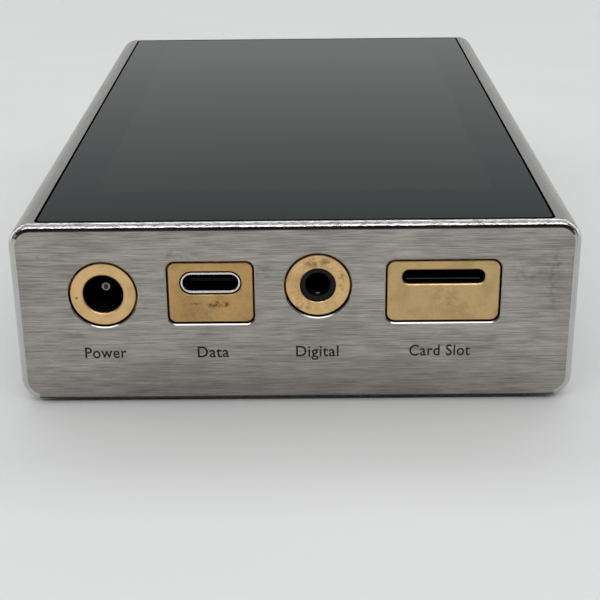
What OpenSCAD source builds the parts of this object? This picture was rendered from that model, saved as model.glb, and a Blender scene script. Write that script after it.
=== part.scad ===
/* [Housing] */
// Width of the machined steel body, side to side
body_w = 85; // [80:1:90]
// Length of the body, port end to far end
body_l = 136; // [130:1:150]
// Height of the body without its foot ring
body_h = 28.8; // [28.4:0.2:32]
// Rounding of the two long upper edges
top_corner_r = 3.4; // [2.4:0.2:3.4]
// Rounding of the two long lower edges
base_corner_r = 3.4; // [2.4:0.2:3.4]
// Polished rounding around each end face
end_fillet_r = 1.0; // [0.6:0.1:1.4]
// Wall thickness of the sides
side_wall = 4.0; // [3.6:0.2:4.4]
// Wall thickness of the two ends
end_wall = 4.0; // [3.6:0.2:4.4]
// How far the rubber foot ring stands out below the body
foot_h = 0.5; // [0.4:0.1:1]

/* [Display] */
// Width of the cover glass
glass_w = 76.8; // [72:0.2:77]
// Length of the cover glass
glass_l = 133.6; // [128:0.2:133.8]
// Thickness of the cover glass
glass_t = 1.0; // [0.8:0.1:1.2]
// Width of the black seal around the glass
seal_w = 0.25; // [0.15:0.05:0.3]
// Width of the display module behind the glass
panel_w = 66; // [62:1:68]
// Length of the display module behind the glass
panel_l = 117; // [112:1:120]

/* [Port end] */
// Sideways place of the power inlet
inlet_x = -28.9; // [-29.5:0.1:-28]
// Height of the power inlet above the body's base
inlet_z = 17.65; // [17:0.05:18.5]
// Outer radius of the power inlet's ring
inlet_ring_r = 5.0; // [4.6:0.1:5.2]
// Sideways place of the data port
data_x = -12.7; // [-13:0.1:-12]
// Height of the data port above the body's base
data_z = 19.36; // [19:0.02:19.8]
// Sideways place of the coaxial jack
coax_x = 3.4; // [3:0.1:4]
// Height of the coaxial jack above the body's base
coax_z = 18.85; // [18:0.05:19]
// Outer radius of the coaxial jack's ring
coax_ring_r = 4.88; // [4.6:0.02:5]
// Sideways place of the card slot
card_x = 22.2; // [21.5:0.1:22.4]
// Height of the card slot above the body's base
card_z = 20.05; // [19.8:0.05:20.3]
// Height of the middle of the two rectangular plates above the body's base
plate_z = 17.8; // [17.4:0.1:18.2]

/* [Far end] */
// Sideways place of the volume knob
knob_x = 22; // [21:1:24]
// Radius of the volume knob
knob_r = 8.5; // [7:0.5:9]
// How far the knob stands out of the far end
knob_out = 8.5; // [7:0.5:10]
// Height of the knob and the sockets above the body's base
socket_z = 14.8; // [14:0.2:15]
// Sideways place of the balanced socket
balanced_x = -28; // [-29:1:-27]
// Sideways place of the small socket next to the knob
small_socket_x = 3; // [2:0.5:4]
// Distance between the two small sockets
small_pitch = 15; // [13:0.5:16]

/* [Side keys] */
// Place of the power key along the body
power_key_y = 44; // [42:1:45]
// Place of the key nearest the middle
next_key_y = 2; // [0:1:4]
// Distance between the three play keys
key_pitch = 12; // [11:0.5:13]
// Length of a key
key_l = 8.6; // [7:0.2:9]
// Height of a key
key_h = 3.6; // [3:0.2:4]
// How far a key stands out of the side
key_out = 0.6; // [0.4:0.1:0.8]

/* [Hidden] */
$fn = 64;
over = 1;                                   // how far a cutter runs past a face

// Levels, from the table up
base_z = foot_h;
top_z = base_z + body_h;
mid_z = (base_z + top_z) / 2;
cover_t = 1.5;
cavity_floor = base_z + cover_t;
cavity_top = top_z - 3.7;
display_t = 1.9;
flex_t = 0.25;
bed_t = 0.15;                               // adhesive bed under the glass
ledge_z = top_z - glass_t - bed_t;
plate_top = cavity_top;                     // the mid plate hangs under the body's top wall
plate_t = 1.2;
plate_low = plate_top - plate_t;

// Plan of the body
front_y = -body_l / 2;                      // outer face of the port end
back_y = body_l / 2;                        // outer face of the far end
front_in = front_y + end_wall;
back_in = back_y - end_wall;
side_in = body_w / 2 - side_wall;
cavity_w = body_w - 2 * side_wall;
cavity_l = body_l - 2 * end_wall;
cover_w = cavity_w + 1.2;
cover_l = cavity_l + 2.4;
cover_gap = 0.2;

// Inserts in the port end: each front stands a little behind the body's face
insert_set = 0.2;                           // how far an insert sits behind the face
insert_gap = 0.16;                          // gap round an insert
insert_y = front_y + insert_set;
flange_t = 1.0;
flange_w = 0.8;
mouth_c = 0.16;                             // chamfer round each opening
data_plate = [12.75, 9.6, 0.95];            // width, height, corner radius
card_plate = [16.9, 9.65, 1.1];
data_shell = [8.94, 3.26];
data_bore = [8.34, 2.56];
card_slot = [12.5, 2.3];

inlet_bore_r = 3.08;
inlet_lip = 3.0;                            // length of the inlet's mouth in front of its pin

// Jacks: bore radius of each plug size
small_bore_r = 1.8;
balanced_bore_r = 2.25;
jack_depth = 14;
small_x = [small_socket_x - small_pitch, small_socket_x];
small_ring_r = 4.9;
balanced_ring_r = 5.7;
socket_y = back_y - insert_set;

// Boards
board_t = 1.2;
digital_top = base_z + 19.0;
digital_low = digital_top - board_t;
analog_top = base_z + 9.5;
analog_low = analog_top - board_t;
digital_y = [front_in + 1.5, -8];
analog_x = [-side_in + 1, 11];
analog_y = [10, back_in - 1.5];
digital_posts = [for (x = [-33.5, 33.5], y = [-50, -13]) [x, y]];
analog_posts = [for (x = [-34, 7.5], y = [14, 42]) [x, y]];
post_r = 2.2;
post_screw_r = 0.8;

// Back cover screws
boss_r = 3.2;
cover_posts = [for (x = [-1, 1], y = [-61.4, 0, 61.4]) [x * 36, y]];
boss_top = base_z + 7.5;
foot_sink = 0.4;
ring_w = 64;
ring_l = 114;
ring_r = 9;
ring_band = 6;
ring_fit = 0.1;

// Mid plate screws
plate_posts = [for (x = [-1, 1], y = [-45, 0, 45]) [x * 36.7, y]];

// Keys
key_y = [power_key_y, next_key_y + 2 * key_pitch, next_key_y + key_pitch, next_key_y];
key_z = mid_z;
key_fit = 0.1;
key_flange_t = 0.8;
switch_x = 35.4;                            // face of the switch board
switch_h = 1.5;
plunger_r = 1.0;
switch_post_y = [-5.5, 52.5];

// Knob and its shaft
recess_r = knob_r + 1;
recess_d = 1.0;
shaft_r = 3.0;
shaft_fit = 0.03;
bush_r = 3.5;
knob_back = back_y - recess_d + 0.5;
knob_front = back_y + knob_out;
knob_c = 0.8;
nut_r = 5.6;

// Card socket
card_path_z = base_z + card_z;
socket_w = 14.8;
socket_l = 15.4;
socket_front = front_in + flange_t + 0.1;
cover_top = digital_top + 2.0;
sheet_t = 0.2;
slider_x = card_x + 6.1;
slider_w = 1.1;
slider_l = 5.0;
slider_y = socket_front + 4.6;
slider_z = [digital_top + 0.6, cover_top - sheet_t - 0.1];

// ---------- shared shapes ----------

// A flat outline with round corners, centred
module rounded(w, h, r) {
    union() {
        square([w - 2 * r, h], center = true);
        if (h > 2 * r) square([w, h - 2 * r], center = true);
        for (x = [-1, 1], y = h > 2 * r ? [-1, 1] : [0])
            translate([x * (w / 2 - r), y * (h / 2 - r)]) circle(r);
    }
}

// An outline carried up, back or sideways between two places
module along_z(z0, z1) { translate([0, 0, z0]) linear_extrude(z1 - z0) children(); }
module along_y(y0, y1) { translate([0, y1, 0]) rotate([90, 0, 0]) linear_extrude(y1 - y0) children(); }
module along_x(x0, x1) { translate([x0, 0, 0]) rotate([90, 0, 90]) linear_extrude(x1 - x0) children(); }

// A round bar or cone along each axis, between two places
module round_y(y0, y1, r, r2 = -1) {
    translate([0, y0, 0]) rotate([-90, 0, 0]) cylinder(h = y1 - y0, r1 = r, r2 = r2 < 0 ? r : r2);
}
module round_x(x0, x1, r) { translate([x0, 0, 0]) rotate([0, 90, 0]) cylinder(h = x1 - x0, r = r); }
module round_z(z0, z1, r, r2 = -1) {
    translate([0, 0, z0]) cylinder(h = z1 - z0, r1 = r, r2 = r2 < 0 ? r : r2);
}

// A block given by its two corners
module block(low, high) { translate(low) cube(high - low); }

// ---------- housing ----------

// One long edge of the body: a bar with its ends rounded over
module edge_bar(x, z, r) {
    translate([x, 0, z]) rotate([90, 0, 0]) rotate_extrude() {
        translate([0, -body_l / 2]) square([r - end_fillet_r, body_l]);
        translate([0, -body_l / 2 + end_fillet_r]) square([r, body_l - 2 * end_fillet_r]);
        for (s = [-1, 1])
            translate([r - end_fillet_r, s * (body_l / 2 - end_fillet_r)]) circle(end_fillet_r);
    }
}

module body_block() {
    base_in = body_w / 2 - base_corner_r;
    top_in = body_w / 2 - top_corner_r;
    union() {
        along_x(-base_in, base_in) translate([0, mid_z]) rounded(body_l, body_h, end_fillet_r);
        along_x(-top_in, top_in) intersection() {
            translate([0, mid_z]) rounded(body_l, body_h, end_fillet_r);
            translate([-body_l / 2, mid_z]) square([body_l, body_h]);
        }
        along_z(base_z + base_corner_r, top_z - top_corner_r) rounded(body_w, body_l, end_fillet_r);
        for (s = [-1, 1]) {
            edge_bar(s * base_in, base_z + base_corner_r, base_corner_r);
            edge_bar(s * top_in, top_z - top_corner_r, top_corner_r);
        }
    }
}

// A round opening through an end wall, with its outer edge chamfered
module round_opening(r, face_y, inward) {
    deep = inward * (end_wall + over);
    round_y(min(face_y - inward, face_y + deep), max(face_y - inward, face_y + deep), r);
    if (inward > 0) round_y(face_y - 0.001, face_y + mouth_c, r + mouth_c, r);
    else round_y(face_y - mouth_c, face_y + 0.001, r, r + mouth_c);
}

// A rectangular opening through the port end, with its outer edge chamfered
module plate_opening(plate) {
    w = plate[0] + 2 * insert_gap;
    h = plate[1] + 2 * insert_gap;
    r = plate[2] + insert_gap;
    along_y(front_y - over, front_in + over) rounded(w, h, r);
    plate_mouth(w, h, r);
}

// The chamfer round a rectangular opening: cones at the corners, bevelled bars between them
module plate_mouth(w, h, r) {
    y0 = front_y - 0.001;
    y1 = front_y + mouth_c;
    for (x = [-1, 1], z = [-1, 1])
        translate([x * (w / 2 - r), 0, z * (h / 2 - r)]) round_y(y0, y1, r + mouth_c, r);
    along_x(r - w / 2, w / 2 - r)
        polygon([[y0, -h / 2 - mouth_c], [y1, -h / 2], [y1, h / 2], [y0, h / 2 + mouth_c]]);
    along_z(r - h / 2, h / 2 - r)
        polygon([[-w / 2 - mouth_c, y0], [w / 2 + mouth_c, y0], [w / 2, y1], [-w / 2, y1]]);
}

module key_opening(y) {
    translate([0, y, key_z]) along_x(side_in - over, body_w / 2 + over) rounded(key_l, key_h, key_h / 2);
}

module chassis() {
    color("silver") difference() {
        union() {
            difference() {
                body_block();
                along_z(cavity_floor - 0.01, cavity_top) rounded(cavity_w, cavity_l, 2);
            }
            for (p = cover_posts) intersection() {
                translate([p[0], p[1], 0]) round_z(cavity_floor, boss_top, boss_r);
                block([-side_in - 1, front_in - 1, 0], [side_in + 1, back_in + 1, top_z]);
            }
            for (y = switch_post_y) translate([0, y, key_z]) round_x(switch_x, side_in + 1, 2);
        }
        along_z(base_z - over, cavity_floor) rounded(cover_w, cover_l, 2);
        along_z(ledge_z, top_z + over) rounded(glass_w + 2 * seal_w, glass_l + 2 * seal_w, 0.8 + seal_w);
        along_z(cavity_top - over, top_z + over) rounded(70, 124, 2);
        for (p = cover_posts) translate([p[0], p[1], 0]) round_z(cavity_floor - over, boss_top - 1, 0.9);
        for (p = plate_posts) translate([p[0], p[1], 0]) round_z(cavity_top - over, cavity_top + 1.9, 0.72);
        for (y = switch_post_y) translate([0, y, key_z]) round_x(switch_x - over, side_in + 1.5, 0.72);
        translate([inlet_x, 0, base_z + inlet_z]) round_opening(inlet_ring_r + insert_gap, front_y, 1);
        translate([coax_x, 0, base_z + coax_z]) round_opening(coax_ring_r + insert_gap, front_y, 1);
        translate([data_x, 0, base_z + plate_z]) plate_opening(data_plate);
        translate([card_x, 0, base_z + plate_z]) plate_opening(card_plate);
        for (x = small_x)
            translate([x, 0, base_z + socket_z]) round_opening(small_ring_r + insert_gap, back_y, -1);
        translate([balanced_x, 0, base_z + socket_z])
            round_opening(balanced_ring_r + insert_gap, back_y, -1);
        translate([knob_x, 0, base_z + socket_z]) {
            round_y(back_y - recess_d, back_y + over, recess_r);
            round_y(back_in - over, back_y, bush_r + 0.1);
        }
        for (y = key_y) key_opening(y);
    }
}

module back_cover() {
    color("dimgray") difference() {
        along_z(base_z, cavity_floor) rounded(cover_w - 2 * cover_gap, cover_l - 2 * cover_gap, 1.8);
        for (p = cover_posts) translate([p[0], p[1], 0]) {
            round_z(base_z - over, cavity_floor + over, 1.1);
            round_z(base_z - 0.001, base_z + 1.05, 2.1, 1.1);
        }
        difference() {
            along_z(base_z - over, base_z + foot_sink)
                rounded(ring_w + 2 * ring_fit, ring_l + 2 * ring_fit, ring_r + ring_fit);
            along_z(base_z - 2 * over, base_z + foot_sink + over)
                rounded(ring_w - 2 * (ring_band + ring_fit), ring_l - 2 * (ring_band + ring_fit),
                        ring_r - ring_band - ring_fit);
        }
    }
}

module back_cover_screws() {
    color("dimgray") for (p = cover_posts) translate([p[0], p[1], 0]) difference() {
        union() {
            round_z(base_z, base_z + 1.0, 1.9, 0.86);
            round_z(base_z + 0.5, boss_top - 1.4, 0.85);
        }
        round_z(base_z - over, base_z + 0.6, 0.75, $fn = 6);
    }
}

// One soft ring under the body, let into the cover
module foot_ring() {
    color("black") difference() {
        along_z(0, base_z + foot_sink) rounded(ring_w, ring_l, ring_r);
        along_z(-over, base_z + foot_sink + over)
            rounded(ring_w - 2 * ring_band, ring_l - 2 * ring_band, ring_r - ring_band);
    }
}

// ---------- display ----------

module cover_glass() {
    color([0.05, 0.05, 0.06]) along_z(top_z - glass_t, top_z) rounded(glass_w, glass_l, 0.8);
}

module glass_gasket() {
    color("black") difference() {
        along_z(ledge_z, top_z - 0.1) rounded(glass_w + 2 * seal_w, glass_l + 2 * seal_w, 0.8 + seal_w);
        along_z(top_z - glass_t, top_z + over) rounded(glass_w, glass_l, 0.8);
        along_z(ledge_z - over, top_z) rounded(panel_w + 4.6, panel_l + 7.6, 2);
    }
}

module display_panel() {
    color("black") along_z(top_z - glass_t - display_t, top_z - glass_t) rounded(panel_w, panel_l, 1);
}

// The flat cable that folds from the display down to the digital board
module display_flex() {
    top = top_z - glass_t - display_t;
    fold_y = -57.4;
    color("orange") translate([-9, 0, 0]) along_x(-8, 8) polygon([
        [-54, top], [fold_y, top], [fold_y, digital_top], [-52, digital_top],
        [-52, digital_top + flex_t], [fold_y + flex_t, digital_top + flex_t],
        [fold_y + flex_t, top - flex_t], [-54, top - flex_t]
    ]);
}

module mid_plate() {
    color("lightgray") difference() {
        along_z(plate_low, plate_top) rounded(cavity_w - 0.6, cavity_l - 2 * (flange_t + 0.3), 1.7);
        for (p = plate_posts) translate([p[0], p[1], 0]) round_z(plate_low - over, plate_top + over, 0.8);
        for (p = concat(digital_posts, analog_posts))
            translate([p[0], p[1], 0]) round_z(plate_low - over, plate_top + over, post_screw_r + 0.1);
        translate([-9, -57, 0]) along_z(plate_low - over, plate_top + over) rounded(20, 4, 1);
        for (y = [-20, 25]) translate([0, y, 0])
            along_z(plate_low - over, plate_top + over) rounded(30, 24, 3);
    }
}

module mid_plate_screws() {
    color("silver") for (p = plate_posts) translate([p[0], p[1], 0]) difference() {
        union() {
            round_z(plate_low - 0.8, plate_low, 1.25);
            round_z(plate_low - 0.1, plate_top + 1.6, 0.7);
        }
        round_z(plate_low - 0.8 - over, plate_low - 0.35, 0.5, $fn = 6);
    }
}

// ---------- boards ----------

// A notch in the board's front edge that lets a connector sit lower
module board_notch(x, half_w, deep) {
    block([x - half_w, front_in, digital_low - over], [x + half_w, front_in + deep, digital_top + over]);
}

module digital_board() {
    w = cavity_w - 2;
    color("darkgreen") difference() {
        block([-w / 2, digital_y[0], digital_low], [w / 2, digital_y[1], digital_top]);
        for (p = digital_posts)
            translate([p[0], p[1], 0]) round_z(digital_low - over, digital_top + over, 1);
        board_notch(inlet_x, 5.2, 11.2);
        board_notch(data_x, 4.8, 5.2);
        board_notch(coax_x, 4.2, 12.7);
    }
}

module analog_board() {
    color("darkgreen") difference() {
        block([analog_x[0], analog_y[0], analog_low], [analog_x[1], analog_y[1], analog_top]);
        for (p = analog_posts) translate([p[0], p[1], 0]) round_z(analog_low - over, analog_top + over, 1);
    }
}

module hex_post(z0, z1) {
    difference() {
        round_z(z0, z1, post_r, $fn = 6);
        round_z(z0 - over, z0 + 3, post_screw_r + 0.05);
    }
}

module board_standoffs() {
    color("goldenrod") {
        for (p = digital_posts) translate([p[0], p[1], 0]) hex_post(digital_top, plate_low);
        for (p = analog_posts) translate([p[0], p[1], 0]) hex_post(analog_top, plate_low);
    }
}

module post_screw(z) {
    difference() {
        union() {
            round_z(z - 1, z, 1.7);
            round_z(z - 0.1, z + board_t + 2.5, post_screw_r);
        }
        round_z(z - 1 - over, z - 0.5, 0.7, $fn = 6);
    }
}

module board_screws() {
    color("silver") {
        for (p = digital_posts) translate([p[0], p[1], 0]) post_screw(digital_low);
        for (p = analog_posts) translate([p[0], p[1], 0]) post_screw(analog_low);
    }
}

module processor_chips() {
    color([0.1, 0.1, 0.11]) {
        block([-4, -38, digital_top], [10, -24, digital_top + 1.2]);
        block([-11, -22, digital_top], [0, -14.5, digital_top + 1.0]);
        block([4, -22, digital_top], [15, -14.5, digital_top + 1.0]);
    }
}

// A folded sheet lid, open below
module sheet_lid(low, high, t) {
    difference() {
        block(low, high);
        block(low + [t, t, -over], high - [t, t, t]);
    }
}

module processor_shield() {
    color("silver") sheet_lid([-14, -42, digital_top], [18, -12, digital_top + 2.2], 0.25);
}

module converter_chips() {
    color([0.1, 0.1, 0.11]) for (x = [-27, -16], y = [17, 27])
        translate([x, y, analog_top]) block([-3.5, -3.5, 0], [3.5, 3.5, 1.1]);
}

module converter_shield() {
    color("silver") sheet_lid([-31.2, 12.6, analog_top], [-11, 31.4, analog_top + 3], 0.25);
}

module filter_capacitors() {
    places = [[-24, 37], [-15, 37], [-6, 37], [-3, 15], [-3, 24]];
    color([0.15, 0.25, 0.5]) for (p = places)
        translate([p[0], p[1], 0]) round_z(analog_top, analog_top + 9, 3.6);
}

module output_relays() {
    color("ivory") for (y = [22, 32]) block([2, y, analog_top], [10, y + 7, analog_top + 6]);
}

module system_battery() {
    color("gray") along_z(cavity_floor + 0.6, base_z + 8.5) translate([0, -34.5]) rounded(62, 54, 2.5);
}

module amplifier_battery() {
    color("gray") along_z(base_z + 8.9, base_z + 15.6) translate([0, -29]) rounded(62, 43, 2.5);
}

module battery_pads() {
    color("black") {
        for (x = [-20, 20]) block([x - 5, -56, cavity_floor], [x + 5, -12, cavity_floor + 0.6]);
        for (x = [-20, 20]) block([x - 5, -48, base_z + 8.5], [x + 5, -12, base_z + 8.9]);
    }
}

// The flat cable between the two boards
module board_link_flex() {
    color("orange") translate([-22, 0, 0]) along_x(-8, 8) polygon([
        [-14, digital_top], [-14, digital_top + flex_t], [-6.5, digital_top + flex_t],
        [8.2, analog_top + flex_t], [12.2, analog_top + flex_t], [12.2, analog_top],
        [8, analog_top], [-6.7, digital_top]
    ]);
}

// ---------- port end ----------

// A round metal insert: a ring that fills its opening, with a flange behind the wall
module ring_insert(r, hole_r, face_y, inward) {
    wall_y = face_y + inward * (end_wall - insert_set);
    far_y = wall_y + inward * flange_t;
    difference() {
        union() {
            round_y(min(face_y, wall_y), max(face_y, wall_y), r);
            round_y(min(wall_y, far_y), max(wall_y, far_y), r + insert_gap + flange_w);
        }
        round_y(min(face_y - inward, far_y + inward), max(face_y - inward, far_y + inward), hole_r);
    }
}

// A rectangular metal insert, with a flange behind the wall
module plate_insert(plate, slot, slot_z) {
    difference() {
        union() {
            along_y(insert_y, front_in) rounded(plate[0], plate[1], plate[2]);
            along_y(front_in, front_in + flange_t)
                rounded(plate[0] + 2 * (insert_gap + flange_w), plate[1] + 2 * (insert_gap + flange_w), 1);
        }
        translate([0, 0, slot_z]) along_y(insert_y - over, front_in + flange_t + over)
            rounded(slot[0], slot[1], slot[1] / 2);
    }
}

module dc_inlet_ring() {
    color("goldenrod") translate([inlet_x, 0, base_z + inlet_z]) difference() {
        ring_insert(inlet_ring_r, inlet_bore_r, insert_y, 1);
        round_y(insert_y + inlet_lip, front_in + flange_t + over, inlet_bore_r + 0.3);
    }
}

// The moulded housing behind the ring, with the plug's round cavity
module dc_inlet_body() {
    body_y = front_in + flange_t;
    color([0.06, 0.06, 0.06]) translate([inlet_x, 0, base_z + inlet_z]) difference() {
        block([-5, body_y, -4.6], [5, body_y + 10, 4.6]);
        round_y(body_y - over, body_y + 7.5, inlet_bore_r + 0.3);
        round_y(body_y + 7, body_y + 9, 1.0);
    }
}

module dc_inlet_pin() {
    pin_r = 1.0;
    tip_y = insert_y + inlet_lip + 0.2;
    color("silver") translate([inlet_x, 0, base_z + inlet_z]) {
        round_y(tip_y + pin_r, front_in + flange_t + 9, pin_r);
        translate([0, tip_y + pin_r, 0]) sphere(pin_r);
    }
}

module data_port_plate() {
    color("goldenrod") translate([data_x, 0, base_z + plate_z])
        plate_insert(data_plate, [9.36, 3.8], data_z - plate_z);
}

// The plug's steel shell, with four feet soldered to the board
module data_port_shell() {
    shell_y = insert_y + 0.1;
    shell_z = base_z + data_z;
    color("silver") translate([data_x, 0, 0]) difference() {
        union() {
            translate([0, 0, shell_z]) along_y(shell_y, shell_y + 8.6)
                rounded(data_shell[0], data_shell[1], data_shell[1] / 2);
            for (x = [-1, 1], y = [-62, -59.4])
                translate([x * 5.2, y, 0]) block([-0.95, -0.5, digital_top], [0.95, 0.5, digital_top + 0.3]);
        }
        translate([0, 0, shell_z]) along_y(shell_y - over, shell_y + 8.2)
            rounded(data_bore[0], data_bore[1], data_bore[1] / 2);
    }
}

module data_port_tongue() {
    back = insert_y + 8.3;
    color([0.06, 0.06, 0.06]) translate([data_x, 0, base_z + data_z]) {
        along_y(back - 1.9, back) rounded(data_bore[0] - 0.04, data_bore[1] - 0.04, data_bore[1] / 2 - 0.02);
        block([-3.35, insert_y + 1.5, -0.35], [3.35, back - 1.8, 0.35]);
    }
}

module coaxial_jack_ring() {
    color("goldenrod") translate([coax_x, 0, base_z + coax_z])
        ring_insert(coax_ring_r, 2.72, insert_y, 1);
}

// A plug socket: a round nose in the ring, a moulded block behind it, a bore and a window for its spring
module jack_body(nose_r, bore_r, half_w, low, high, face_y, inward) {
    nose_y = face_y + inward * 0.35;
    wall_y = face_y + inward * (end_wall - insert_set + flange_t);
    end_y = face_y + inward * jack_depth;
    difference() {
        union() {
            round_y(min(nose_y, wall_y), max(nose_y, wall_y), nose_r);
            block([-half_w, min(wall_y, end_y), low], [half_w, max(wall_y, end_y), high]);
        }
        round_y(min(nose_y - inward, end_y + inward), max(nose_y - inward, end_y + inward), bore_r);
        block([-0.7, min(wall_y + inward * 3, wall_y + inward * 7), low - over],
              [0.7, max(wall_y + inward * 3, wall_y + inward * 7), 0]);
    }
}

// The spring leaf in the jack's window, just clear of the plug
module jack_leaf(bore_r, low, face_y, inward) {
    wall_y = face_y + inward * (end_wall - insert_set + flange_t);
    ends = [wall_y + inward * 3.2, wall_y + inward * 6.8];
    block([-0.7, min(ends), max(low, -bore_r - 0.6)], [0.7, max(ends), -bore_r - 0.1]);
}

module coaxial_jack_body() {
    color([0.06, 0.06, 0.06]) translate([coax_x, 0, base_z + coax_z])
        jack_body(2.68, small_bore_r, 4, -3.2, 3.2, insert_y, 1);
}

module jack_contacts() {
    color("goldenrod") {
        translate([coax_x, 0, base_z + coax_z]) jack_leaf(small_bore_r, -3.2, insert_y, 1);
        for (x = small_x) translate([x, 0, base_z + socket_z]) jack_leaf(small_bore_r, -5.3, socket_y, -1);
        translate([balanced_x, 0, base_z + socket_z]) jack_leaf(balanced_bore_r, -5.3, socket_y, -1);
    }
}

module card_slot_plate() {
    color("goldenrod") translate([card_x, 0, base_z + plate_z])
        plate_insert(card_plate, card_slot, card_z - plate_z);
}

// The card socket's tray: a bed for the card and a channel for the runner
module card_socket_base() {
    floor_t = 0.35;
    wall_x = slider_x - slider_w / 2;
    low = [card_x - socket_w / 2 + sheet_t, socket_front, digital_top];
    high = [card_x + socket_w / 2 - sheet_t, socket_front + socket_l, cover_top - sheet_t];
    color([0.06, 0.06, 0.06]) difference() {
        block(low, high);
        block([card_x - 5.6, low[1] - over, low[2] + floor_t], [wall_x - 0.1, high[1] - 1, high[2] + over]);
        block([wall_x - 0.2, slider_y - 0.05, low[2] + floor_t],
              [wall_x + slider_w + 0.1, high[1] - 1, high[2] + over]);
    }
}

// The steel lid over the card socket, open to the front and below
module card_socket_cover() {
    low = [card_x - socket_w / 2, socket_front, digital_top];
    high = [card_x + socket_w / 2, socket_front + socket_l + sheet_t, cover_top];
    color("silver") difference() {
        block(low, high);
        block(low + [sheet_t, -over, -over], high - [sheet_t, sheet_t, sheet_t]);
    }
}

module card_socket_contacts() {
    color("goldenrod") for (i = [0:7])
        block([card_x - 4.75 + 1.1 * i, socket_front + 5, digital_top + 0.35],
              [card_x - 4.15 + 1.1 * i, socket_front + 11, digital_top + 0.5]);
}

// The sprung runner, with the arm that the card's corner pushes
module card_slider() {
    color("ivory") {
        block([slider_x - slider_w / 2, slider_y, slider_z[0]],
              [slider_x + slider_w / 2, slider_y + slider_l, slider_z[1]]);
        block([slider_x - 3.2, slider_y + slider_l - 1, slider_z[0]],
              [slider_x, slider_y + slider_l, slider_z[1]]);
    }
}

// Points on the spring's coil, and the tube swept along them
spring_turns = 5;
spring_steps = 12;
spring_r = 0.34;
spring_wire_r = 0.08;
spring_sides = 6;
spring_y = [slider_y + slider_l, socket_front + socket_l - 1];
spring_z = (slider_z[0] + slider_z[1]) / 2;
function coil_point(t) = [
    slider_x + spring_r * cos(360 * spring_turns * t),
    spring_y[0] + spring_wire_r + (spring_y[1] - spring_y[0] - 2 * spring_wire_r) * t,
    spring_z + spring_r * sin(360 * spring_turns * t)
];
function coil_out(t) = [cos(360 * spring_turns * t), 0, sin(360 * spring_turns * t)];
function coil_ring(t) = [for (k = [0:spring_sides - 1]) let (a = 360 * k / spring_sides)
    coil_point(t) + spring_wire_r * (cos(a) * coil_out(t) + sin(a) * [0, 1, 0])];

module card_slider_spring() {
    rings = spring_turns * spring_steps;
    points = [for (i = [0:rings]) for (p = coil_ring(i / rings)) p];
    sides = [for (i = [0:rings - 1], k = [0:spring_sides - 1])
        let (n = (k + 1) % spring_sides, a = i * spring_sides, b = a + spring_sides)
        [a + k, a + n, b + n, b + k]];
    first = [for (k = [0:spring_sides - 1]) spring_sides - 1 - k];
    last = [for (k = [0:spring_sides - 1]) rings * spring_sides + k];
    color("silver") polyhedron(points, concat(sides, [first, last]), convexity = 4);
}

// ---------- far end ----------

module balanced_jack_ring() {
    color("goldenrod") translate([balanced_x, 0, base_z + socket_z])
        ring_insert(balanced_ring_r, 3.54, socket_y, -1);
}

module balanced_jack_body() {
    color([0.06, 0.06, 0.06]) translate([balanced_x, 0, base_z + socket_z])
        jack_body(3.5, balanced_bore_r, 5.3, analog_top - base_z - socket_z, 5.3, socket_y, -1);
}

module headphone_jack_rings() {
    color("goldenrod") for (x = small_x) translate([x, 0, base_z + socket_z])
        ring_insert(small_ring_r, 2.72, socket_y, -1);
}

module headphone_jack_bodies() {
    color([0.06, 0.06, 0.06]) for (x = small_x) translate([x, 0, base_z + socket_z])
        jack_body(2.68, small_bore_r, 4.5, analog_top - base_z - socket_z, 4.5, socket_y, -1);
}

module volume_knob() {
    color("goldenrod") translate([knob_x, 0, base_z + socket_z]) difference() {
        union() {
            round_y(knob_back, knob_front - knob_c, knob_r);
            round_y(knob_front - knob_c, knob_front, knob_r, knob_r - knob_c);
        }
        round_y(knob_back - over, back_y + 2.4, nut_r + 1);
        round_y(knob_back, knob_front - 1.6, shaft_r + 0.01);
        translate([0, knob_front - 3.5, 0]) rotate([180, 0, 0]) round_z(0, knob_r + over, 1.5);
    }
}

module volume_shaft() {
    color("silver") translate([knob_x, 0, base_z + socket_z])
        round_y(back_in - 6, knob_front - 1.7, shaft_r);
}

module knob_set_screw() {
    place = [knob_x, knob_front - 3.5, base_z + socket_z];
    color("dimgray") translate(place) rotate([180, 0, 0]) difference() {
        round_z(shaft_r + 0.02, knob_r - 0.6, 1.45);
        round_z(knob_r - 2, knob_r, 0.75, $fn = 6);
    }
}

module volume_bushing() {
    color("silver") translate([knob_x, 0, base_z + socket_z]) difference() {
        round_y(back_in - 2, back_y + 1.8, bush_r);
        round_y(back_in - 2 - over, back_y + 1.8 + over, shaft_r + shaft_fit);
    }
}

module volume_nut() {
    nut_y = back_y - recess_d;
    color("silver") translate([knob_x, 0, base_z + socket_z]) difference() {
        round_y(nut_y, nut_y + 2, nut_r, $fn = 6);
        round_y(nut_y - over, nut_y + 2 + over, bush_r);
    }
}

// Four switched wafers on one shaft, behind the far wall
module attenuator_body() {
    half = 8.5;
    front = back_in - 2;
    wafer_t = 3.2;
    color([0.12, 0.16, 0.12]) translate([knob_x, 0, base_z + socket_z]) difference() {
        union() {
            block([-half, front, -half], [half, back_in, half]);
            for (i = [0:3]) block([-half + 0.6, front - 4.4 * i - 1.2 - wafer_t, -half + 0.6],
                                  [half - 0.6, front - 4.4 * i - 1.2, half - 0.6]);
            block([-5, front - 17.6, -5], [5, front, 5]);
        }
        round_y(back_in - 2, back_in + over, bush_r);
        round_y(back_in - 6.1, back_in - 1, shaft_r + shaft_fit);
    }
}

// ---------- side keys ----------

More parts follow.
